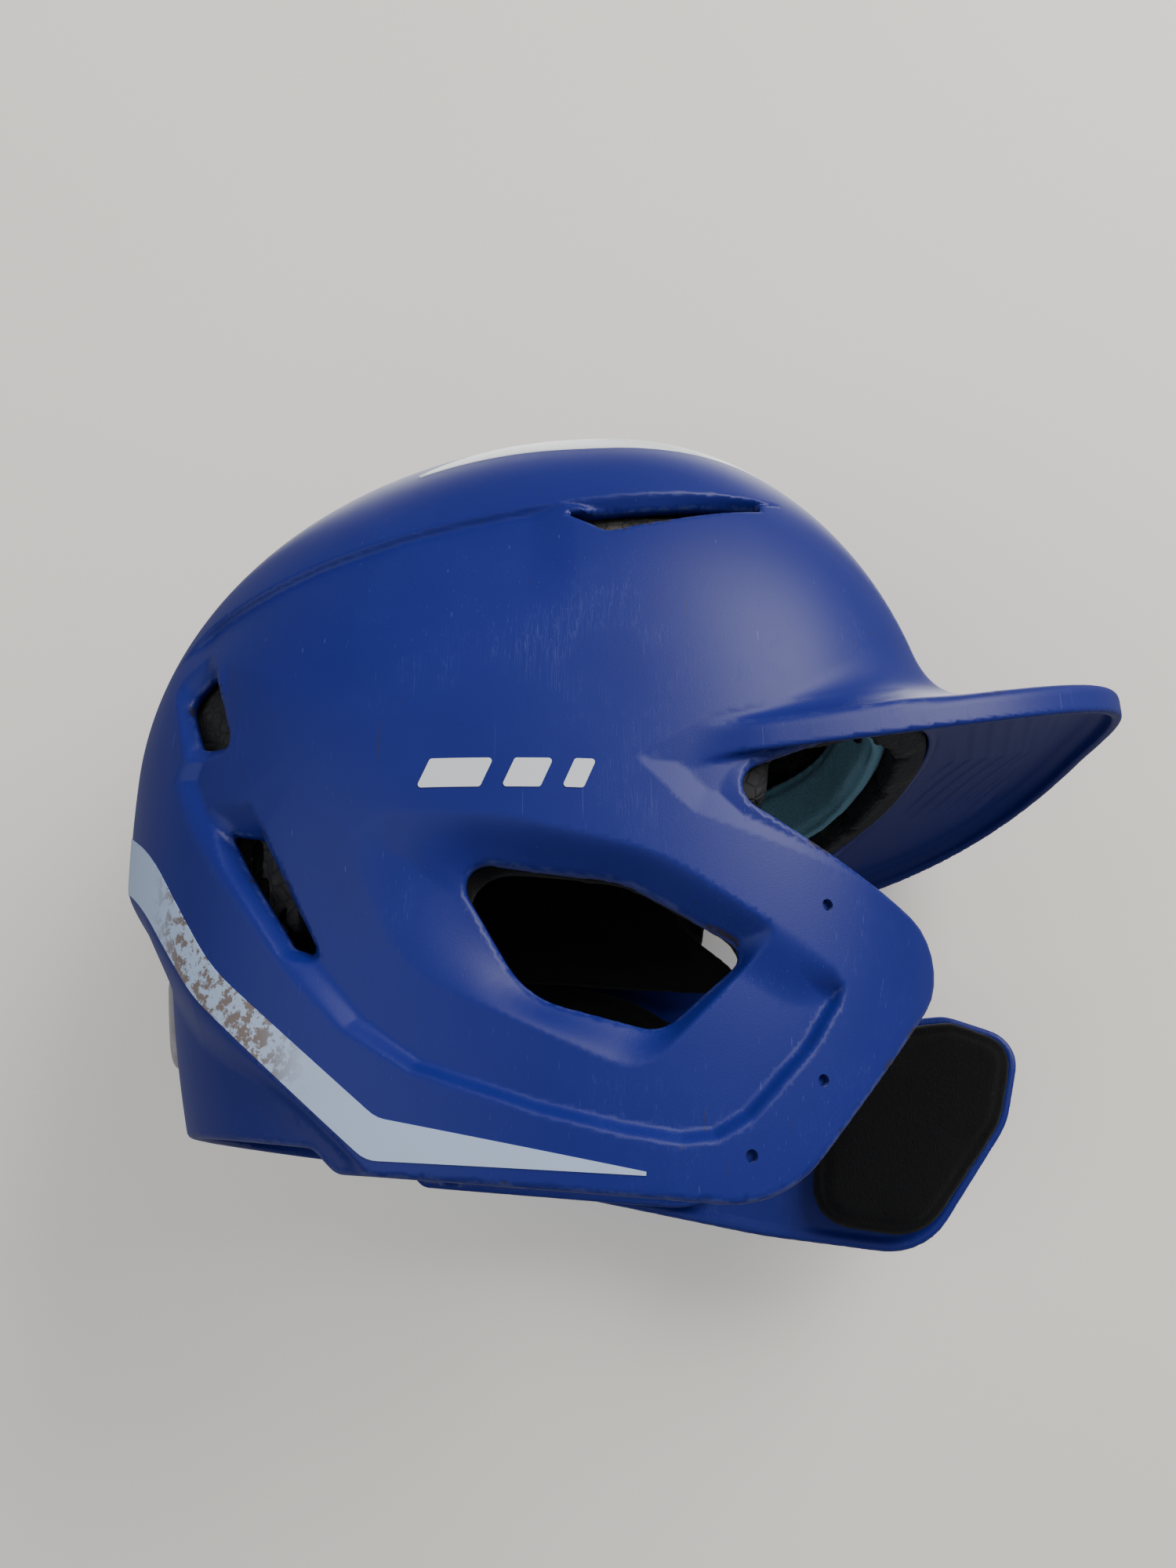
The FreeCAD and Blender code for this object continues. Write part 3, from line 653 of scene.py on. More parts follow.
def guard_y(x, z):
    """The guard's inner face: the flap's own curve, blended into a gently bent plate."""
    a = np.where(x > DOME_X, FRONT, BACK)
    c = np.where(z > DOME_Z, RISE, DROP)
    reach = np.hypot((x - DOME_X) / a, (z - DOME_Z) / c)
    flap = HALF_WIDTH * np.maximum(1 - reach**ROUNDNESS, 0) ** (1 / ROUNDNESS) + GUARD_GAP
    run = x - CHEEK_START
    cheek = CHEEK_HALF_WIDTH - CHEEK_SLOPE * run - CHEEK_BEND * run**2
    return smooth_max(flap, cheek, 6.0)


def bolt_distance(x, y, z):
    nearest = 1e9
    for place in BOLTS:
        point, way = bolt_axis(*place, 1)
        u, v, w = x - point[0], y - point[1], z - point[2]
        along = u * way[0] + v * way[1] + w * way[2]
        nearest = np.minimum(nearest, np.sqrt(np.maximum(u * u + v * v + w * w - along * along, 0)))
    return nearest


guard_rim = chart(outline(rounded(JAW_GUARD)), (-20, -8), (165, 105))


def guard_field(x, y, z):
    middle = guard_y(x, z) + GUARD_WALL / 2
    rim = guard_rim(x, z)
    rolled = GUARD_ROLL * ramp(rim, -5, -2)
    thinner = 0.35 * (1 - rolled / GUARD_ROLL)
    plate = (np.abs(y - middle + rolled * 0.5) - GUARD_WALL / 2 + thinner) * 0.98
    return smooth_max(smooth_max(plate, rim, 2.0), BOLT_RADIUS - bolt_distance(x, y, z), 0.8)


guard = moulded("guard_plate", guard_field, (-14, 55, -6), (160, 101, 98), 1.0, keep=0.5)
dress(guard, BLUE, ["jaw_guard"])

# %% [markdown]
# ## The foam liner
#
# Five blocks of black bead foam fill the space between the shell and the pads. Each is the same layer of the
# dome, cut apart by narrow gaps, with relief grooves so that it crushes evenly.

# %% The liner blocks
LINER_EDGE = [
    (150, 150, 0), (97, 137, 30), (44, 118, 8), (42, 102.5, 6), (-66, 102.5, 8), (-71, 49, 5), (-88, 64, 30),
    (-119, 101, 30), (-150, 124, 0), (-150, 260, 0), (150, 260, 0),
]
LINER_TOP = WALL + 0.4
LINER_BOTTOM = LINER_TOP + 10.0
FRONT_SPLIT, REAR_SPLIT, CROWN_SPLIT, HALF_GAP = 48.0, -62.0, 190.0, 1.0
liner_rim = chart(outline(rounded(LINER_EDGE)), side_low, side_high)


def groove(across, pitch, half, deep):
    """A row of parallel grooves: how far each point is cut back."""
    off = np.abs((across + pitch / 2) % pitch - pitch / 2)
    return deep * (1 - ramp(off, half * 0.4, half))


def liner_block(keep_in):
    def field(x, y, z):
        depth = dome(x, y, z)
        top = depth + np.maximum(LINER_TOP, deep_inside_at(x, z) + WALL + 0.3)
        relief = groove(y, 34.0, 3.2, 3.0) + groove(x + 0.4 * z, 42.0, 3.2, 2.4)
        block = smooth_max(top, -(depth + LINER_BOTTOM - relief), 2.0)
        return smooth_max(smooth_max(block, liner_rim(x, z), 2.0), keep_in(x, y, z), 2.5)
    return field


def between(value, low, high):
    return np.maximum(low - value, value - high)


mid_x = (REAR_SPLIT + HALF_GAP, FRONT_SPLIT - HALF_GAP)
LINER = {
    "front": lambda x, y, z: FRONT_SPLIT + HALF_GAP - x,
    "rear": lambda x, y, z: x - REAR_SPLIT + HALF_GAP,
    "crown": lambda x, y, z: np.maximum(between(x, *mid_x), CROWN_SPLIT + HALF_GAP - z),
    "right": lambda x, y, z: np.maximum(np.maximum(between(x, *mid_x), z - CROWN_SPLIT + HALF_GAP), y),
    "left": lambda x, y, z: np.maximum(np.maximum(between(x, *mid_x), z - CROWN_SPLIT + HALF_GAP), -y),
}
foam_blocks = []
for place, keep_in in LINER.items():
    block = moulded("foam_" + place, liner_block(keep_in), (-134, -93, 40), (104, 93, 240), 2.2, keep=0.6)
    foam_blocks.append(dress(block, "liner_foam", ["liner_" + place]))

# %% [markdown]
# ## The pads
#
# The pads that touch the head are cloth over soft foam. They could be modelled as rounded slabs, but sewn
# cloth bulges between its seams and pulls in at its corners, so each one starts as a slightly thin slab and
# is blown up by a short cloth simulation. Its points may only move a little way, because it is glued in.

# %% Inflating a pad
PAD_TOP = LINER_BOTTOM + 0.4
PAD_BOTTOM = PAD_TOP + 6.5
PAD_FRAMES = 20
PAD_CELL = 2.3


def inflate(made, cap):
    """A pressurised cloth whose points end at most cap millimetres from where they start."""
    start = read_points(made.data)
    cloth = made.modifiers.new("cloth", "CLOTH")
    cloth.settings.use_pressure = True
    cloth.settings.uniform_pressure_force = 4
    cloth.settings.effector_weights.gravity = 0
    cloth.settings.quality = 4
    cloth.point_cache.frame_end = PAD_FRAMES
    for number in range(1, PAD_FRAMES + 1):
        bpy.context.scene.frame_set(number)
    apply_modifiers(made)
    bpy.context.scene.frame_set(1)
    move = read_points(made.data) - start
    length = np.linalg.norm(move, axis=1)
    points = start + move * np.minimum(1, cap / np.maximum(length, 1e-9))[:, None]
    made.data.vertices.foreach_set("co", (points * MM).ravel())
    print(made.name, "moved at most", round(float(np.minimum(length, cap).max()), 2), "mm")


def seam(made, rim, inset, deep, inward):
    """Presses a sewn line into the pad, a constant distance inside its outline."""
    points = read_points(made.data)
    off = np.abs(rim(points) + inset)
    points += inward(points) * (deep * np.exp(-(off / 1.3) ** 2))[:, None]
    made.data.vertices.foreach_set("co", (points * MM).ravel())


def outward(points):
    way = slope(dome, points)[1]
    return way / np.maximum(np.linalg.norm(way, axis=1), 1e-9)[:, None]


def pad(name, field, low, high, node, slot, rim, cap=1.6, inward=outward):
    """A cloth pad: netted, inflated, smoothed and sewn, in place of its CAD node."""
    points, quads = net(field, low, high, PAD_CELL)
    made = new_object(name, settle(field, points), quads)
    inflate(made, cap)
    smooth = made.modifiers.new("smooth", "SUBSURF")
    smooth.levels = 1
    apply_modifiers(made)
    seam(made, rim, 5.0, 0.9, inward)
    made.data.shade_smooth()
    dress(made, slot, [node])
    print(name, len(made.data.polygons), "faces")
    return made


# %% [markdown]
# A worn-in pad fills its own thickness, so every slab starts a millimetre thin on each face and round its
# edge. The ear pads are larger and go round the ear hole.

# %% Comfort pads
BROW_PAD = [(150, 173, 0), (58, 160, 6), (52, 128, 6), (97, 139.5, 20), (150, 148, 0)]
REAR_PAD = [(-150, 112, 0), (-84, 104, 8), (-84, 58, 8), (-150, 62, 0)]
TEMPLE_PAD = [(-48, 137, 12), (36, 140, 12), (38, 112, 12), (60, 90, 6), (44, 84, 20), (-56, 90, 12)]
CROWN_PAD = [(44, 26, 18), (-52, 26, 18), (-52, -26, 18), (44, -26, 18)]
EAR_PAD = [
    (-56, 97.5, 8), (-20, 96, 50), (16, 87.5, 50), (60, 61, 9), (28, 28, 14), (-32, 41.5, 50),
    (-54, 56, 16),
]
EAR_PAD_HOLES = {
    "right": [(-33, 88, 8), (-15, 57, 22), (16, 48.5, 10), (38, 67, 6), (8, 83.5, 30)],
    "left": [(-20, 77, 8), (-17, 58, 8), (13, 58, 8), (15, 75, 8)],
}
EAR_PAD_TOP, EAR_PAD_BOTTOM = 8.8, 17.0
THIN = 0.9


def side_pad(rim, top=PAD_TOP, bottom=PAD_BOTTOM, keep_in=None):
    def field(x, y, z):
        depth = dome(x, y, z)
        slab = smooth_max(depth + top + THIN, -(depth + bottom - THIN), 4.0)
        slab = smooth_max(slab, rim(x, y, z) + THIN, 5.0)
        return slab if keep_in is None else smooth_max(slab, keep_in(x, y, z), 3.0)
    return field


def from_side(corners):
    flat = outline(rounded(corners))
    return lambda x, y, z: flat(x, z)


def at_points(rim):
    return lambda points: rim(*points.T)


brow_rim = from_side(BROW_PAD)
rear_rim = from_side(REAR_PAD)
temple_rim = from_side(TEMPLE_PAD)
crown_flat = outline(rounded(CROWN_PAD))
ear_outer = outline(rounded(EAR_PAD))


def crown_rim(x, y, z):
    return crown_flat(x, y)


def ear_rim(hole):
    inner = outline(rounded(hole))
    return lambda x, y, z: np.maximum(ear_outer(x, z), -inner(x, z))


def clear_of_nape(x, y, z):
    return dome(x - NAPE_STEP, y, z) + WALL + 0.4


brow_band = pad("brow_band", side_pad(brow_rim), (45, -85, 122), (92, 85, 180),
                "brow_pad", "brow_foam", at_points(brow_rim))
cushions = [
    pad("nape_cushion", side_pad(rear_rim, keep_in=clear_of_nape), (-125, -76, 54), (-78, 76, 114),
        "rear_pad", "pad_cloth", at_points(rear_rim)),
    pad("crown_cushion", side_pad(crown_rim), (-56, -30, 190), (48, 30, 232),
        "crown_pad", "pad_cloth", at_points(crown_rim)),
]
for side, sign in (("right", -1), ("left", 1)):
    near, far = sorted((sign * 60, sign * 90))
    cushions.append(pad(
        side + "_temple_cushion", side_pad(temple_rim), (-60, near - 14, 80), (62, far + 4, 144),
        side + "_temple_pad", "pad_cloth", at_points(temple_rim)))
    rim = ear_rim(EAR_PAD_HOLES[side])
    cushions.append(pad(
        side + "_ear_cushion", side_pad(rim, EAR_PAD_TOP, EAR_PAD_BOTTOM),
        (-60, near - 12, 24), (64, far + 4, 102),
        side + "_ear_pad", "pad_cloth", at_points(rim)))

# %% [markdown]
# The jaw pad is the thickest one. It sits in the guard's cup and shows past the flap, so its rolled edge is
# part of how the helmet looks.

# %% The jaw pad
GUARD_PAD = [(80, 72.5, 14), (126.5, 77, 12), (148, 68, 12), (140.5, 40, 28), (112, 2, 20), (74, 8, 14)]
PAD_DEPTH = 13.0
jaw_rim = from_side(GUARD_PAD)


def jaw_pad_field(x, y, z):
    inner = guard_y(x, z)
    slab = smooth_max(y - inner + 0.2 + 0.6, inner - PAD_DEPTH + 1.0 - y, 7.0)
    return smooth_max(slab, jaw_rim(x, y, z) + 1.0, 8.0)


def towards_guard(points):
    return np.broadcast_to(np.array([0.0, 1.0, 0.0]), points.shape)


cushions.append(pad(
    "jaw_cushion", jaw_pad_field, (68, 50, -4), (154, 92, 84), "jaw_guard_pad", "pad_cloth",
    at_points(jaw_rim), cap=2.2, inward=towards_guard))


# %% [markdown]
# ## Decals
#
# The decals are cut vinyl. Painting them in the shader would blur at their edges and would not leave a
# separate piece, so each is a thin sheet: its outline is filled with triangles, pressed onto the skin, and
# given its thickness outwards.

# %% Pressing a sheet onto the skin
HALVINGS = 26


def onto_skin(start, way, lift, reach):
    """Walks from start along way to where the skin stands lift millimetres inside, by halving."""
    near = np.zeros(len(start))
    far = np.full(len(start), float(reach))
    for _ in range(HALVINGS):
        middle = (near + far) / 2
        outside = skin(*(start + way * middle[:, None]).T) > lift
        far = np.where(outside, middle, far)
        near = np.where(outside, near, middle)
    return start + way * near[:, None]


def vinyl(name, below, above, faces, slot, node):
    """A closed thin sheet from matching lower and upper points."""
    count = len(below)
    sheet = [tuple(f) for f in faces] + [tuple(v + count for v in reversed(f)) for f in faces]
    sides = dict.fromkeys((a, b) for face in faces for a, b in zip(face, (*face[1:], face[0])))
    sheet += [(b, a, a + count, b + count) for a, b in sides if (b, a) not in sides]
    made = new_object(name, np.concatenate([below, above]), sheet)
    mesh = bmesh.new()
    mesh.from_mesh(made.data)
    bmesh.ops.recalc_face_normals(mesh, faces=mesh.faces)
    mesh.to_mesh(made.data)
    mesh.free()
    made.data.shade_smooth()
    made.data.set_sharp_from_angle(angle=math.radians(40))
    dress(made, slot, [node])
    print(name, len(made.data.polygons), "faces")
    return made


def filled(corners, pitch=2.0):
    """Points and triangles of an outline's inside."""
    rim = rounded(corners)
    dense = []
    for start, end in zip(rim, np.roll(rim, -1, axis=0)):
        count = max(1, int(np.linalg.norm(end - start) / pitch))
        dense += [start + (end - start) * i / count for i in range(count)]
    dense = np.array(dense)
    field = outline(rim)
    low = dense.min(0)
    high = dense.max(0)
    a, b = np.meshgrid(np.arange(low[0], high[0], pitch), np.arange(low[1], high[1], pitch))
    inner = np.stack([a.ravel(), b.ravel()], axis=1)
    inner = inner[field(*inner.T) < -0.7]
    points = [Vector(p) for p in np.concatenate([dense, inner])]
    ring = [(i, (i + 1) % len(dense)) for i in range(len(dense))]
    points, _, faces, *_ = delaunay_2d_cdt(points, ring, [], 1, 1e-6)
    return np.array([tuple(p) for p in points]), faces


SINK, PROUD = -0.15, 0.22
PATCH_REACH = 160


def patch(corners, axis, sign):
    """A decal's lower and upper points and faces, pressed on along Y (axis 1) or Z (axis 2)."""
    flat, faces = filled(corners)
    start = np.zeros((len(flat), 3))
    start[:, 0] = flat[:, 0]
    start[:, 3 - axis] = flat[:, 1]
    if axis == 2:
        start[:, 2] = 100
    way = np.zeros(3)
    way[axis] = sign
    below = onto_skin(start, way, SINK, PATCH_REACH)
    above = onto_skin(start, way, PROUD, PATCH_REACH)
    return below, above, faces


def joined(patches):
    """Several patches as one sheet's points and faces."""
    below, above, faces = [], [], []
    for lower, upper, part in patches:
        first = sum(len(p) for p in below)
        below.append(lower)
        above.append(upper)
        faces += [tuple(v + first for v in face) for face in part]
    return np.concatenate(below), np.concatenate(above), faces


# %% [markdown]
# Each side carries three slanted bars, and the crown two leaf shapes. A sheet is pressed on along one
# direction: sideways for the bars, upwards from inside for the leaves.

# %% Side bars and crown stripes
SIDE_BARS = [
    [(-40, 105.5, 0.8), (-37, 112.5, 0.8), (-22, 112.2, 0.8), (-25, 105.2, 0.8)],
    [(-20, 105.1, 0.8), (-17, 112.1, 0.8), (-8, 111.9, 0.8), (-11, 104.9, 0.8)],
    [(-6, 104.8, 0.8), (-3, 111.8, 0.8), (2, 111.6, 0.8), (-1, 104.6, 0.8)],
]
CROWN_STRIPE = [(56, 57, 0.6), (14, 74, 90), (-50, 68, 0.6), (14, 48, 90)]
white_decals = []
for side, sign in (("right", -1), ("left", 1)):
    bars = joined([patch(bar, 1, sign) for bar in SIDE_BARS])
    white_decals.append(vinyl(side + "_bars", *bars, "decal_white", side + "_side_bars"))
leaves = [patch([(x, y * sign, r) for x, y, r in CROWN_STRIPE], 2, 1) for sign in (-1, 1)]
white_decals.append(vinyl("crown_leaves", *joined(leaves), "decal_white", "crown_stripes"))

# %% [markdown]
# The rear stripe wraps the bumper from one flap to the other, so no single direction can press it on. It is
# laid column by column instead, as tape would be: each column is a bearing round the head.

# %% The rear stripe
REAR_STRIPE = [
    (18, 19.6, 0.4), (-46, 32, 8), (-89, 67, 60), (-112, 99, 60), (-150, 128, 0), (-150, 108, 0),
    (-116, 89, 60), (-94, 61, 60), (-48, 23.2, 8),
]
TAPE_AXIS = -20.0
TAPE_REACH = 170
FIRST_BEARING, LAST_BEARING = 0.36 * math.pi, 1.64 * math.pi
COLUMNS, ROWS = 260, 9


def tape(corners):
    """The stripe's lower and upper points and faces, as one strip of columns."""
    edge = chart(outline(rounded(corners)), (-145, 10), (25, 135), 0.25)
    z = np.arange(16, 130, 0.5)
    lower, upper = [], []
    for bearing in np.linspace(FIRST_BEARING, LAST_BEARING, COLUMNS)[::-1]:
        way = np.array([math.cos(bearing), -math.sin(bearing), 0])
        start = np.stack([np.full_like(z, TAPE_AXIS), np.zeros_like(z), z], axis=1)
        hit = onto_skin(start, way, 0, TAPE_REACH)
        level = np.maximum(edge(hit[:, 0], z), away_at(hit[:, 0], z) + 0.9)
        covered = np.flatnonzero(level < 0)
        if len(covered) < 2:
            continue
        i, j = covered[0], covered[-1]
        bottom = z[i] - 0.5 * level[i] / (level[i] - level[i - 1])
        top = z[j] + 0.5 * level[j] / (level[j] - level[j + 1])
        rows = np.linspace(bottom, top, ROWS)
        start = np.stack([np.full(ROWS, TAPE_AXIS), np.zeros(ROWS), rows], axis=1)
        lower.append(onto_skin(start, way, SINK, TAPE_REACH))
        upper.append(onto_skin(start, way, PROUD, TAPE_REACH))
    faces = []
    for column in range(len(lower) - 1):
        for row in range(ROWS - 1):
            a = column * ROWS + row
            faces.append((a, a + 1, a + 1 + ROWS, a + ROWS))
    return np.concatenate(lower), np.concatenate(upper), faces


bumper_stripe = vinyl("bumper_stripe", *tape(REAR_STRIPE), "decal_white", "rear_stripe")

# %% [markdown]
# ## The badge
#
# A moulded plate sits in the nape's niche. It carries a plain bar and no lettering.

# %% Badge and inlay
BADGE_LOW, BADGE_HEIGHT, BADGE_HALF, BADGE_THICK = 50.0, 26.0, 24.0, 2.4
BAR_HALF, BAR_HEIGHT = 15.0, 8.0


def plate_rim(low, high, half, corner):
    """A plate's outline from behind, narrower at the top."""
    upper = 0.85 * half
    corners = [(-half, low), (half, low), (upper, high), (-upper, high)]
    return outline(rounded([(y, z, corner) for y, z in corners]))


badge_middle = BADGE_LOW + BADGE_HEIGHT / 2
badge_rim = plate_rim(BADGE_LOW, BADGE_LOW + BADGE_HEIGHT, BADGE_HALF, 6)
bar_rim = plate_rim(badge_middle - BAR_HEIGHT / 2, badge_middle + BAR_HEIGHT / 2, BAR_HALF, 2)


def badge_field(x, y, z):
    depth = dome(x - NAPE_STEP, y, z)
    frame_line = 0.5 * (1 - ramp(np.abs(badge_rim(y, z) + 3.2), 0.3, 0.9))
    pocket = 1.6 * (1 - ramp(bar_rim(y, z), -0.2, 0.3))
    face = depth - BADGE_THICK + frame_line + pocket
    return smooth_max(smooth_max(face, -(depth + 2.0), 0.8), badge_rim(y, z), 1.4)


def inlay_field(x, y, z):
    depth = dome(x - NAPE_STEP, y, z)
    return smooth_max(smooth_max(depth - BADGE_THICK - 0.3, BADGE_THICK - 0.8 - depth, 0.5),
                      bar_rim(y, z) + 0.15, 0.7)


badge = moulded("badge_plate", badge_field, (-124, -26, 46), (-100, 26, 80), 0.7, keep=0.6)
dress(badge, "badge_white", ["rear_badge"])
inlay = moulded("badge_bar", inlay_field, (-124, -18, 56), (-104, 18, 70), 0.45, keep=0.6)
dress(inlay, "badge_red", ["badge_inlay"])

# %% [markdown]
# ## Shader maths as expressions
#
# A material is a graph of nodes. Written node by node it is hard to read, so one small class wraps a socket:
# an expression on two wrapped sockets adds the Math node for it, and one method adds any other node.

# %% The wire
class Wire:
    def __init__(self, tree, socket=None):
        self.tree = tree
        self.socket = socket

    def node(self, kind, settings=None, sockets=None, out=0):
        made = self.tree.nodes.new(kind)
        for name, value in (settings or {}).items():
            setattr(made, name, value)
        for name, value in (sockets or {}).items():
            if isinstance(value, Wire):
                self.tree.links.new(value.socket, made.inputs[name])
            else:
                made.inputs[name].default_value = value
        return Wire(self.tree, made.outputs[out])

    def axes(self):
        """The three coordinates of this place."""
        return [self.node("ShaderNodeSeparateXYZ", None, {0: self}, out=i) for i in range(3)]

    def math(self, operation, first, second):
        return self.node("ShaderNodeMath", {"operation": operation}, {0: first, 1: second})

    def __add__(self, other):
        return self.math("ADD", self, other)

    def __sub__(self, other):
        return self.math("SUBTRACT", self, other)

    def __rsub__(self, other):
        return self.math("SUBTRACT", other, self)

    def __mul__(self, other):
        return self.math("MULTIPLY", self, other)

    def __abs__(self):
        return self.math("ABSOLUTE", self, 0.0)

    __radd__ = __add__
    __rmul__ = __mul__

    def ramp(self, low, high):
        """0 at low, 1 at high, and smooth between."""
        return self.node("ShaderNodeMapRange", {"interpolation_type": "SMOOTHSTEP"},
                         {"Value": self, "From Min": low, "From Max": high})

    def mix(self, here, there):
        """Colour here where this mask is 0, there where it is 1."""
        here, there = ((*c, 1) if isinstance(c, tuple) else c for c in (here, there))
        return self.node("ShaderNodeMix", {"data_type": "RGBA"}, {0: self, 6: here, 7: there}, out=2)

    def noise(self, scale, detail=4.0, rough=0.55):
        return self.node("ShaderNodeTexNoise", None,
                         {"Vector": self, "Scale": scale, "Detail": detail, "Roughness": rough})

    def stretched(self, scale, turn):
        return self.node("ShaderNodeMapping", None, {"Vector": self, "Scale": scale, "Rotation": turn})


def finish(name):
    """A new material: its principled node, and a wire that carries the object's own coordinates."""
    material = bpy.data.materials.new(name)
    material.use_nodes = True
    tree = material.node_tree
    principled = tree.nodes["Principled BSDF"]
    place = Wire(tree).node("ShaderNodeTexCoord", out="Object")
    return material, principled, place


def connect(principled, **wires):
    for name, wire in wires.items():
        socket = principled.inputs[name.replace("_", " ")]
        if isinstance(wire, Wire):
            principled.id_data.links.new(wire.socket, socket)
        else:
            socket.default_value = wire


def bumped(height, strength, distance):
    return height.node("ShaderNodeBump", None, {"Strength": strength, "Distance": distance, "Height": height})


def wear_it(made, material):
    made.data.materials.clear()
    made.data.materials.append(material)


# %% [markdown]
# ## Blue moulded plastic
#
# The shell is blue all through, so a scratch shows as a paler, whitened line and not as another colour.
# A season of use leaves patches of fine scratches and whitened or chipped edges. The scratches are made
# denser and paler on the front of the flap, which paints in the highlight of the light falling there. How
# near each vertex is to a rim is read off the fields and kept as an attribute, so that the material can
# wear the edges only.

# %% Where the shell is worn
def mark_edges(made, nearness):
    layer = made.data.attributes.new("edge", "FLOAT", "POINT")
    layer.data.foreach_set("value", nearness.astype(np.float32))


WEAR_REACH = 5.0


def shell_wear():
    x, y, z = read_points(shell.data).T
    face = skin(x, y, z)
    rim = np.hypot(away_at(x, z), face)
    lip = np.hypot(brim_edge(x, y), brim_top(x, y, z))
    return np.clip(1 - np.where(x < 96, np.minimum(rim, lip), lip) / WEAR_REACH, 0, 1)


mark_edges(shell, shell_wear())
guard_points = read_points(guard.data)
guard_near = np.abs(guard_rim(guard_points[:, 0], guard_points[:, 2]))
mark_edges(guard, np.clip(1 - (guard_near + 0.5) / WEAR_REACH, 0, 1))

# %% [markdown]
# A fine scratch is a contour line of stretched noise. A single long one is a stretched cell, marked only
# close to its point. Both are masks from 0 to 1, and each mask mixes one colour over the last.

# %% Blue plastic
BLUE_BASE = (0.0062, 0.0120, 0.175)
BLUE_FADED = (0.0085, 0.0155, 0.195)
BLUE_PALE = (0.075, 0.10, 0.36)
WHITENED = (0.30, 0.34, 0.50)
DIRT = (0.030, 0.024, 0.020)


def scratches(place, scale, length, turn, thin):
    """Fine lines: noise stretched along one direction, kept only near its middle value."""
    lines = place.stretched((scale, scale, scale / length), turn).noise(1.0, 2.0, 0.5)
    return 1 - abs(lines - 0.5).ramp(0.0, thin)


def strokes(place, across, along, turn, thin):
    """Straight single scratches: long thin cells, marked only close to each cell's own point."""
    cells = place.stretched((1000 / across, 1000 / across, 1000 / along), turn)
    near = cells.node("ShaderNodeTexVoronoi", {"feature": "F1"}, {"Vector": cells, "Scale": 1.0})
    return 1 - near.ramp(thin * 0.5, thin)


def blue_plastic():
    material, principled, place = finish("blue_plastic")
    edge = place.node("ShaderNodeAttribute", {"attribute_name": "edge"}, out="Fac")
    patchy = place.noise(14.0, 5.0, 0.6)
    x, y, z = place.axes()
    # flap is the front of the ear flap: the extra, paler scratches there are partly real and partly painted
    # highlight
    flap = x.ramp(0.030, 0.062) * (1 - z.ramp(0.085, 0.118))
    scuffs_and_flap_highlight = (place.noise(28.0, 6.0, 0.65) + flap * 0.09).ramp(0.54, 0.68)
    fine = scratches(place, 900.0, 26.0, (0.4, 1.0, 0.2), 0.012)
    cross = scratches(place, 700.0, 22.0, (1.3, -0.5, 0.9), 0.010)
    scratches_and_flap_highlight = (fine + cross) * scuffs_and_flap_highlight * 0.45
    # the flap share of these single scratches is painted highlight as well, on top of the real scratches
    for turn in ((0.5, 0.9, 0.3), (1.2, -0.4, 0.8), (0.2, 1.4, 1.9), (2.1, 0.6, 0.1)):
        scratches_and_flap_highlight = scratches_and_flap_highlight + strokes(place, 1.5, 130.0, turn, 0.07) * (patchy + flap * 0.5)
    broken = place.noise(190.0, 5.0, 0.7).ramp(0.40, 0.62)
    worn = edge.ramp(0.74, 0.90) * broken
    chips = edge.ramp(0.70, 0.85) * place.noise(120.0, 3.0, 0.6).ramp(0.62, 0.67)
    specks = place.noise(420.0, 3.0, 0.6).ramp(0.70, 0.74) * place.noise(20.0, 3.0, 0.6).ramp(0.56, 0.66)
    colour = patchy.ramp(0.35, 0.7).mix(BLUE_BASE, BLUE_FADED)
    long_scuffs = strokes(place, 3.2, 260.0, (0.9, 1.1, 0.4), 0.06)
    colour = (scratches_and_flap_highlight * 0.42).mix(colour, BLUE_PALE)
    colour = (long_scuffs * 0.5).mix(colour, BLUE_PALE)
    dark_rubs = strokes(place, 3.0, 90.0, (0.1, 1.45, 0.0), 0.10) * place.noise(60.0).ramp(0.45, 0.6)
    colour = (dark_rubs * 0.5).mix(colour, DIRT)
    colour = (worn * 0.14).mix(colour, WHITENED)
    colour = (specks * 0.8).mix(colour, DIRT)
    colour = (chips * 0.85).mix(colour, DIRT)
    grain = place.noise(2600.0, 2.0, 0.5)
    height = grain * 0.25 + patchy * 0.5 - scratches_and_flap_highlight * 0.5 - chips
    connect(principled, Base_Color=colour, Normal=bumped(height, 0.22, 0.0004))
    connect(principled, Roughness=0.38 + patchy * 0.12 + scratches_and_flap_highlight * 0.14 + worn * 0.1)
    principled.inputs["Specular IOR Level"].default_value = 0.34
    return material


blue = blue_plastic()
for piece in (shell, guard):
    wear_it(piece, blue)
print("blue plastic:", len(blue.node_tree.nodes), "nodes")

# %% [markdown]
# ## Foam and cloth
#
# The liner is bead foam: small cells pressed together, with dark seams and dust. The pads are brushed cloth
# with a short nap, which a bump alone makes look like plastic, so sheen is set too.

# %% Foam and cloth
def bead_foam():
    material, principled, place = finish("bead_foam")
    cells = place.node("ShaderNodeTexVoronoi", {"feature": "DISTANCE_TO_EDGE"},
                       {"Vector": place, "Scale": 260.0})
    dust = place.noise(60.0, 6.0, 0.65).ramp(0.48, 0.72)
    seams = 1 - cells.ramp(0.0, 0.09)
    colour = dust.mix((0.010, 0.010, 0.012), (0.060, 0.055, 0.050))
    colour = (seams * 0.6).mix(colour, (0.004, 0.004, 0.005))
    connect(principled, Base_Color=colour, Roughness=0.78 + dust * 0.15,
            Normal=bumped(cells.ramp(0.0, 0.12), 0.5, 0.0006))
    return material


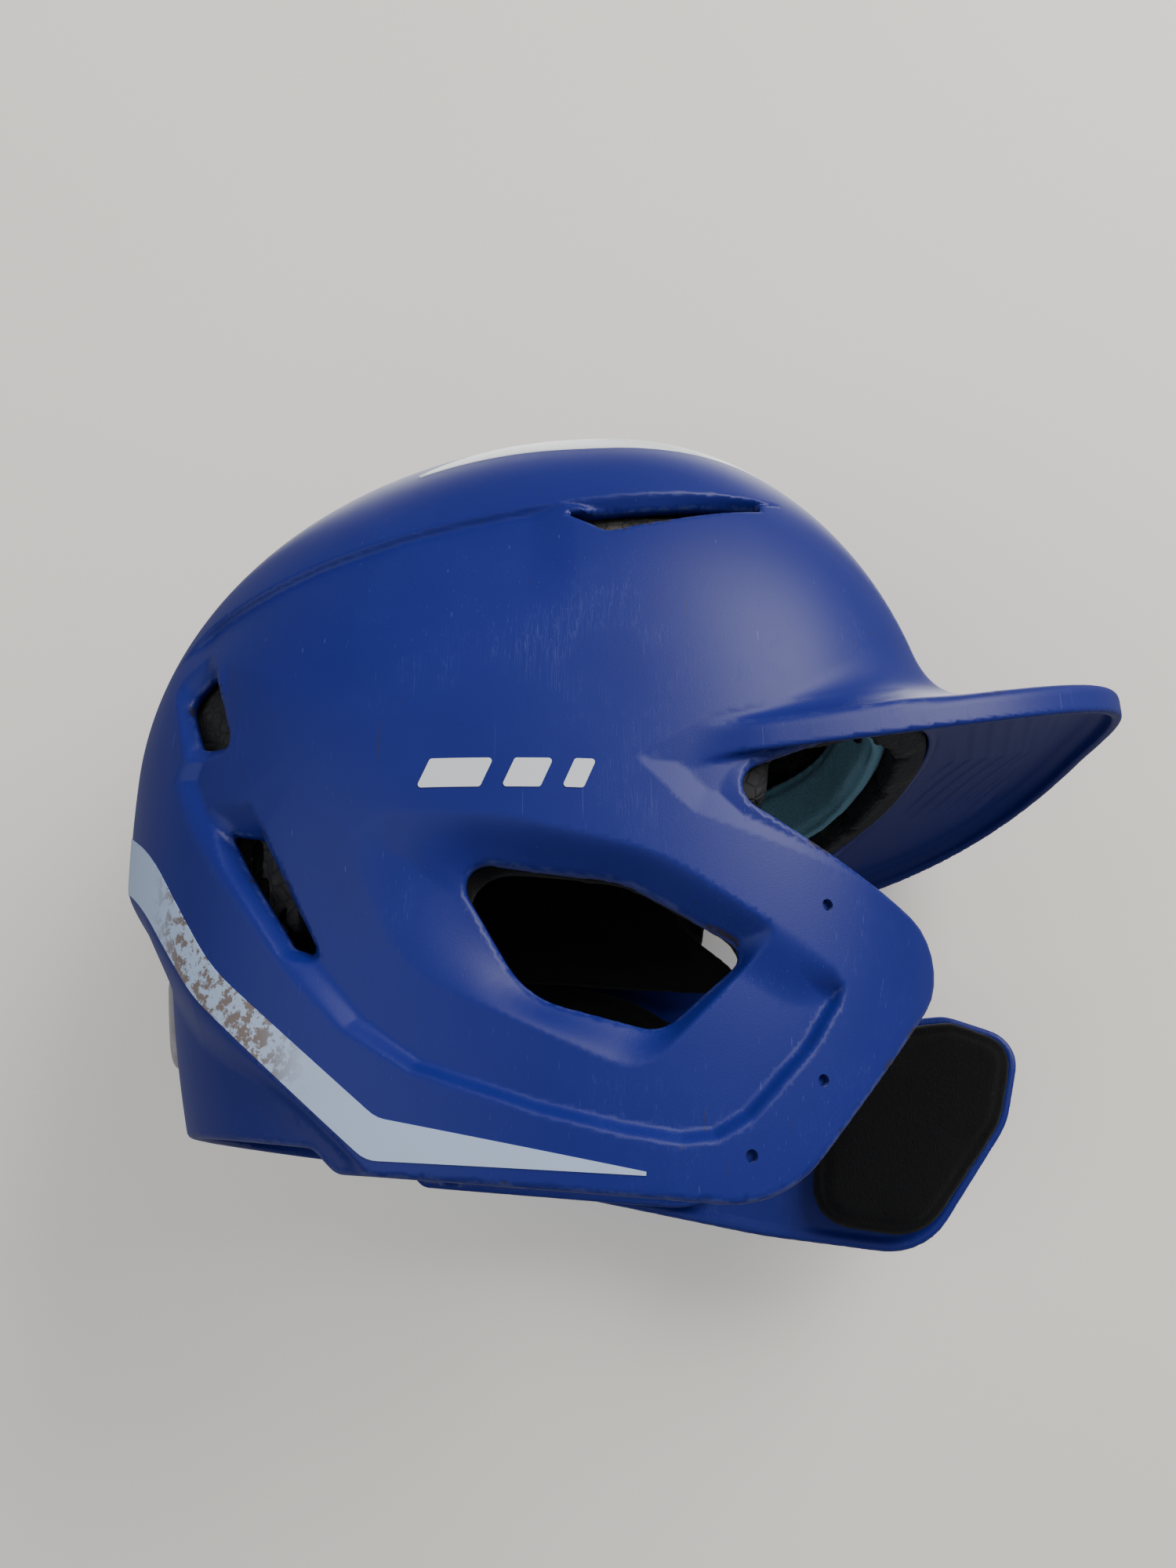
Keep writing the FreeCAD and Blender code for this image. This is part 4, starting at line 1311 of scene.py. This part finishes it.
def brushed_cloth(name, base, lint, speckle=0.5):
    material, principled, place = finish(name)
    weave_a = scratches(place, 2400.0, 6.0, (0.2, 0.7, 0.1), 0.2)
    weave_b = scratches(place, 2400.0, 6.0, (1.4, 0.3, 1.1), 0.2)
    nap = weave_a * 0.5 + weave_b * 0.5
    worn = place.noise(45.0, 5.0, 0.6).ramp(0.42, 0.75)
    fluff = place.noise(900.0, 3.0, 0.6).ramp(0.66, 0.74) * worn
    colour = (nap * 0.5).mix(base, tuple(c * 1.8 + 0.001 for c in base))
    colour = (worn * 0.35).mix(colour, lint)
    colour = (fluff * speckle).mix(colour, (0.05, 0.045, 0.04))
    connect(principled, Base_Color=colour, Roughness=0.86 + worn * 0.1, Normal=bumped(nap, 0.6, 0.0005))
    principled.inputs["Sheen Weight"].default_value = 0.06
    principled.inputs["Specular IOR Level"].default_value = 0.2
    principled.inputs["Sheen Roughness"].default_value = 0.45
    return material


cloth = brushed_cloth("black_brushed_cloth", (0.0022, 0.0023, 0.003), (0.008, 0.008, 0.009))
brow_cloth = brushed_cloth("pale_blue_cloth", (0.17, 0.36, 0.46), (0.22, 0.38, 0.46), 0.15)
foam = bead_foam()
for block in foam_blocks:
    wear_it(block, foam)
for cushion in cushions:
    wear_it(cushion, cloth)
wear_it(brow_band, brow_cloth)
print("foam on", len(foam_blocks), "blocks, cloth on", len(cushions) + 1, "pads")


# %% [markdown]
# ## Vinyl, badge and metal
#
# The vinyl is satin white, and the stripe on the bumper has brown dirt ground into it. Its base is a darker
# blue-grey than the other vinyl: painted shade, for the bumper that faces away from the light. The badge is
# a glossy moulding with grime in it. The screws, washers and tee nuts stay as they are in the frame, because
# a turned screw has nothing to gain from another mesh, and only get materials here.

# %% Vinyl, badge and metal
def vinyl_white(name, base, muddy):
    material, principled, place = finish(name)
    x, y, z = place.axes()
    grime = place.noise(30.0, 5.0, 0.6).ramp(0.45, 0.75)
    specks = place.noise(330.0, 5.0, 0.72).ramp(0.47, 0.54)
    colour = (grime * 0.25).mix(base, (0.42, 0.42, 0.42))
    if muddy:
        where = x.ramp(-0.112, -0.098) * (1 - x.ramp(-0.076, -0.060)) * (1 - y.ramp(-0.03, 0.0))
        colour = (specks * where * 0.85).mix(colour, (0.17, 0.095, 0.035))
    scrape = scratches(place, 800.0, 20.0, (0.3, 0.9, 0.4), 0.008) * grime
    colour = (scrape * 0.4).mix(colour, (0.12, 0.13, 0.18))
    connect(principled, Base_Color=colour, Roughness=0.34 + grime * 0.2, Normal=bumped(grime, 0.1, 0.0002))
    return material


def moulded_gloss(name, base, dark):
    material, principled, place = finish(name)
    grime = place.noise(120.0, 5.0, 0.65).ramp(0.46, 0.72)
    grain = place.noise(1800.0, 2.0, 0.5)
    connect(principled, Base_Color=(grime * 0.55).mix(base, dark), Roughness=0.32 + grime * 0.3,
            Normal=bumped(grain, 0.15, 0.0002))
    return material


def metal(name, base, rough, metallic=1.0):
    material, principled, place = finish(name)
    turned = scratches(place, 2200.0, 12.0, (0.0, 0.5, 0.0), 0.15)
    blotch = place.noise(300.0, 4.0, 0.6)
    connect(principled, Base_Color=(blotch.ramp(0.4, 0.7) * 0.5).mix(base, tuple(c * 0.5 for c in base)),
            Roughness=rough + blotch * 0.2, Metallic=metallic, Normal=bumped(turned, 0.1, 0.0001))
    return material


# the stripe's base is white vinyl darkened to blue-grey: painted shade on the bumper, which faces away from
# the light
wear_it(bumper_stripe, vinyl_white("bumper_vinyl", (0.46, 0.58, 0.80), True))
crisp = vinyl_white("white_vinyl", (0.74, 0.76, 0.80), False)
for decal in white_decals:
    wear_it(decal, crisp)
wear_it(badge, moulded_gloss("badge_white", (0.42, 0.40, 0.40), (0.16, 0.14, 0.13)))
wear_it(inlay, moulded_gloss("badge_red", (0.36, 0.045, 0.05), (0.12, 0.03, 0.03)))
METALS = {
    "guard_screws": metal("black_oxide", (0.05, 0.05, 0.055), 0.35),
    "guard_washers": metal("black_nylon", (0.02, 0.02, 0.022), 0.5, 0.0),
    "guard_tee_nuts": metal("zinc_plate", (0.52, 0.52, 0.54), 0.3),
}
for node, material in METALS.items():
    for slot in bpy.data.objects[node].material_slots:
        slot.material = material
print("materials in all:", len(bpy.data.materials))

# %% [markdown]
# ## Studio
#
# The helmet lies on its guarded side, and the camera looks straight down at it from close by. Turning the
# helmet would move it off its frame, so the camera looks from the right side instead, pitched up.

# %% Camera
scene = bpy.context.scene
camera = bpy.data.objects.new("camera", bpy.data.cameras.new("camera"))
scene.collection.objects.link(camera)
camera.data.sensor_width = 36
camera.data.lens = 27
camera.data.clip_start = 0.01
DISTANCE = 0.372
tilt = math.radians(20)
ahead = Vector((0, math.cos(tilt), math.sin(tilt)))
right = Vector((1, 0, 0))
up = right.cross(ahead)
camera.location = Vector((0, 0, 0.140)) - ahead * DISTANCE
camera.rotation_euler = (math.pi / 2 + tilt, 0, 0)
scene.camera = camera
print("camera at", [round(v, 3) for v in camera.location])

# %% [markdown]
# The ground it lies on becomes a pale board behind the left side, square to the view. It shows to the camera
# only, and is transparent from behind, so the left side can be looked at as well. It casts no shadow.

# %% Board
BOARD_HALF = 4.0
LOW_SIDE = ((0.098, 0.02), (0.094, 0.10), (0.06, 0.20))     # (left, up) where the helmet lies on the board
furthest = max(Vector((0, y, z)).dot(ahead) for y, z in LOW_SIDE)
board_centre = ahead * (furthest + 0.002)
corners = [board_centre + right * a * BOARD_HALF + up * b * BOARD_HALF
           for a, b in ((-1, -1), (1, -1), (1, 1), (-1, 1))]
board = new_object("board", [c / MM for c in corners], [(0, 1, 2, 3)])
board.visible_diffuse = False
board.visible_glossy = False
board.visible_shadow = False
material, principled, place = finish("pale_board")
see_through = place.node("ShaderNodeNewGeometry", out="Backfacing")
tone = place.noise(3.0, 3.0, 0.5)
connect(principled, Base_Color=tone.ramp(0.3, 0.7).mix((0.93, 0.90, 0.82), (0.96, 0.93, 0.86)), Roughness=0.9)
principled.inputs["Emission Color"].default_value = (1.0, 0.97, 0.88, 1)
principled.inputs["Emission Strength"].default_value = 0.16
clear = place.node("ShaderNodeBsdfTransparent")
solid = Wire(principled.id_data, principled.outputs[0])
shown = place.node("ShaderNodeMixShader", None, {0: see_through, 1: solid, 2: clear})
material.node_tree.links.new(shown.socket, material.node_tree.nodes["Material Output"].inputs[0])
wear_it(board, material)
print("board", round(board_centre.length, 3), "m from the origin")


# %% [markdown]
# One large soft light stands above and to the front, like a window. A weaker one fills in from the rear, and
# a third lights the side that lies on the board.

# %% Lights
def area_light(name, place, size, power, colour=(1, 1, 1)):
    light = bpy.data.lights.new(name, "AREA")
    light.size = size
    light.energy = power
    light.color = colour
    made = bpy.data.objects.new(name, light)
    made.location = place
    made.rotation_euler = (Vector((0, 0, 0.12)) - place).to_track_quat("-Z", "Y").to_euler()
    scene.collection.objects.link(made)


area_light("window", ahead * -0.75 + right * 0.95 + up * 1.25, 1.1, 33, (1.0, 0.98, 0.95))
area_light("room", ahead * -1.0 - right * 0.9 + up * 0.2, 1.2, 5, (0.92, 0.95, 1.0))
area_light("left_fill", ahead * 1.2 + up * 0.6, 1.2, 16)
world = bpy.data.worlds.new("studio")
world.use_nodes = True
world.node_tree.nodes["Background"].inputs[0].default_value = (0.90, 0.92, 0.95, 1)
world.node_tree.nodes["Background"].inputs[1].default_value = 0.32
scene.world = world
print("lights:", len(bpy.data.lights))
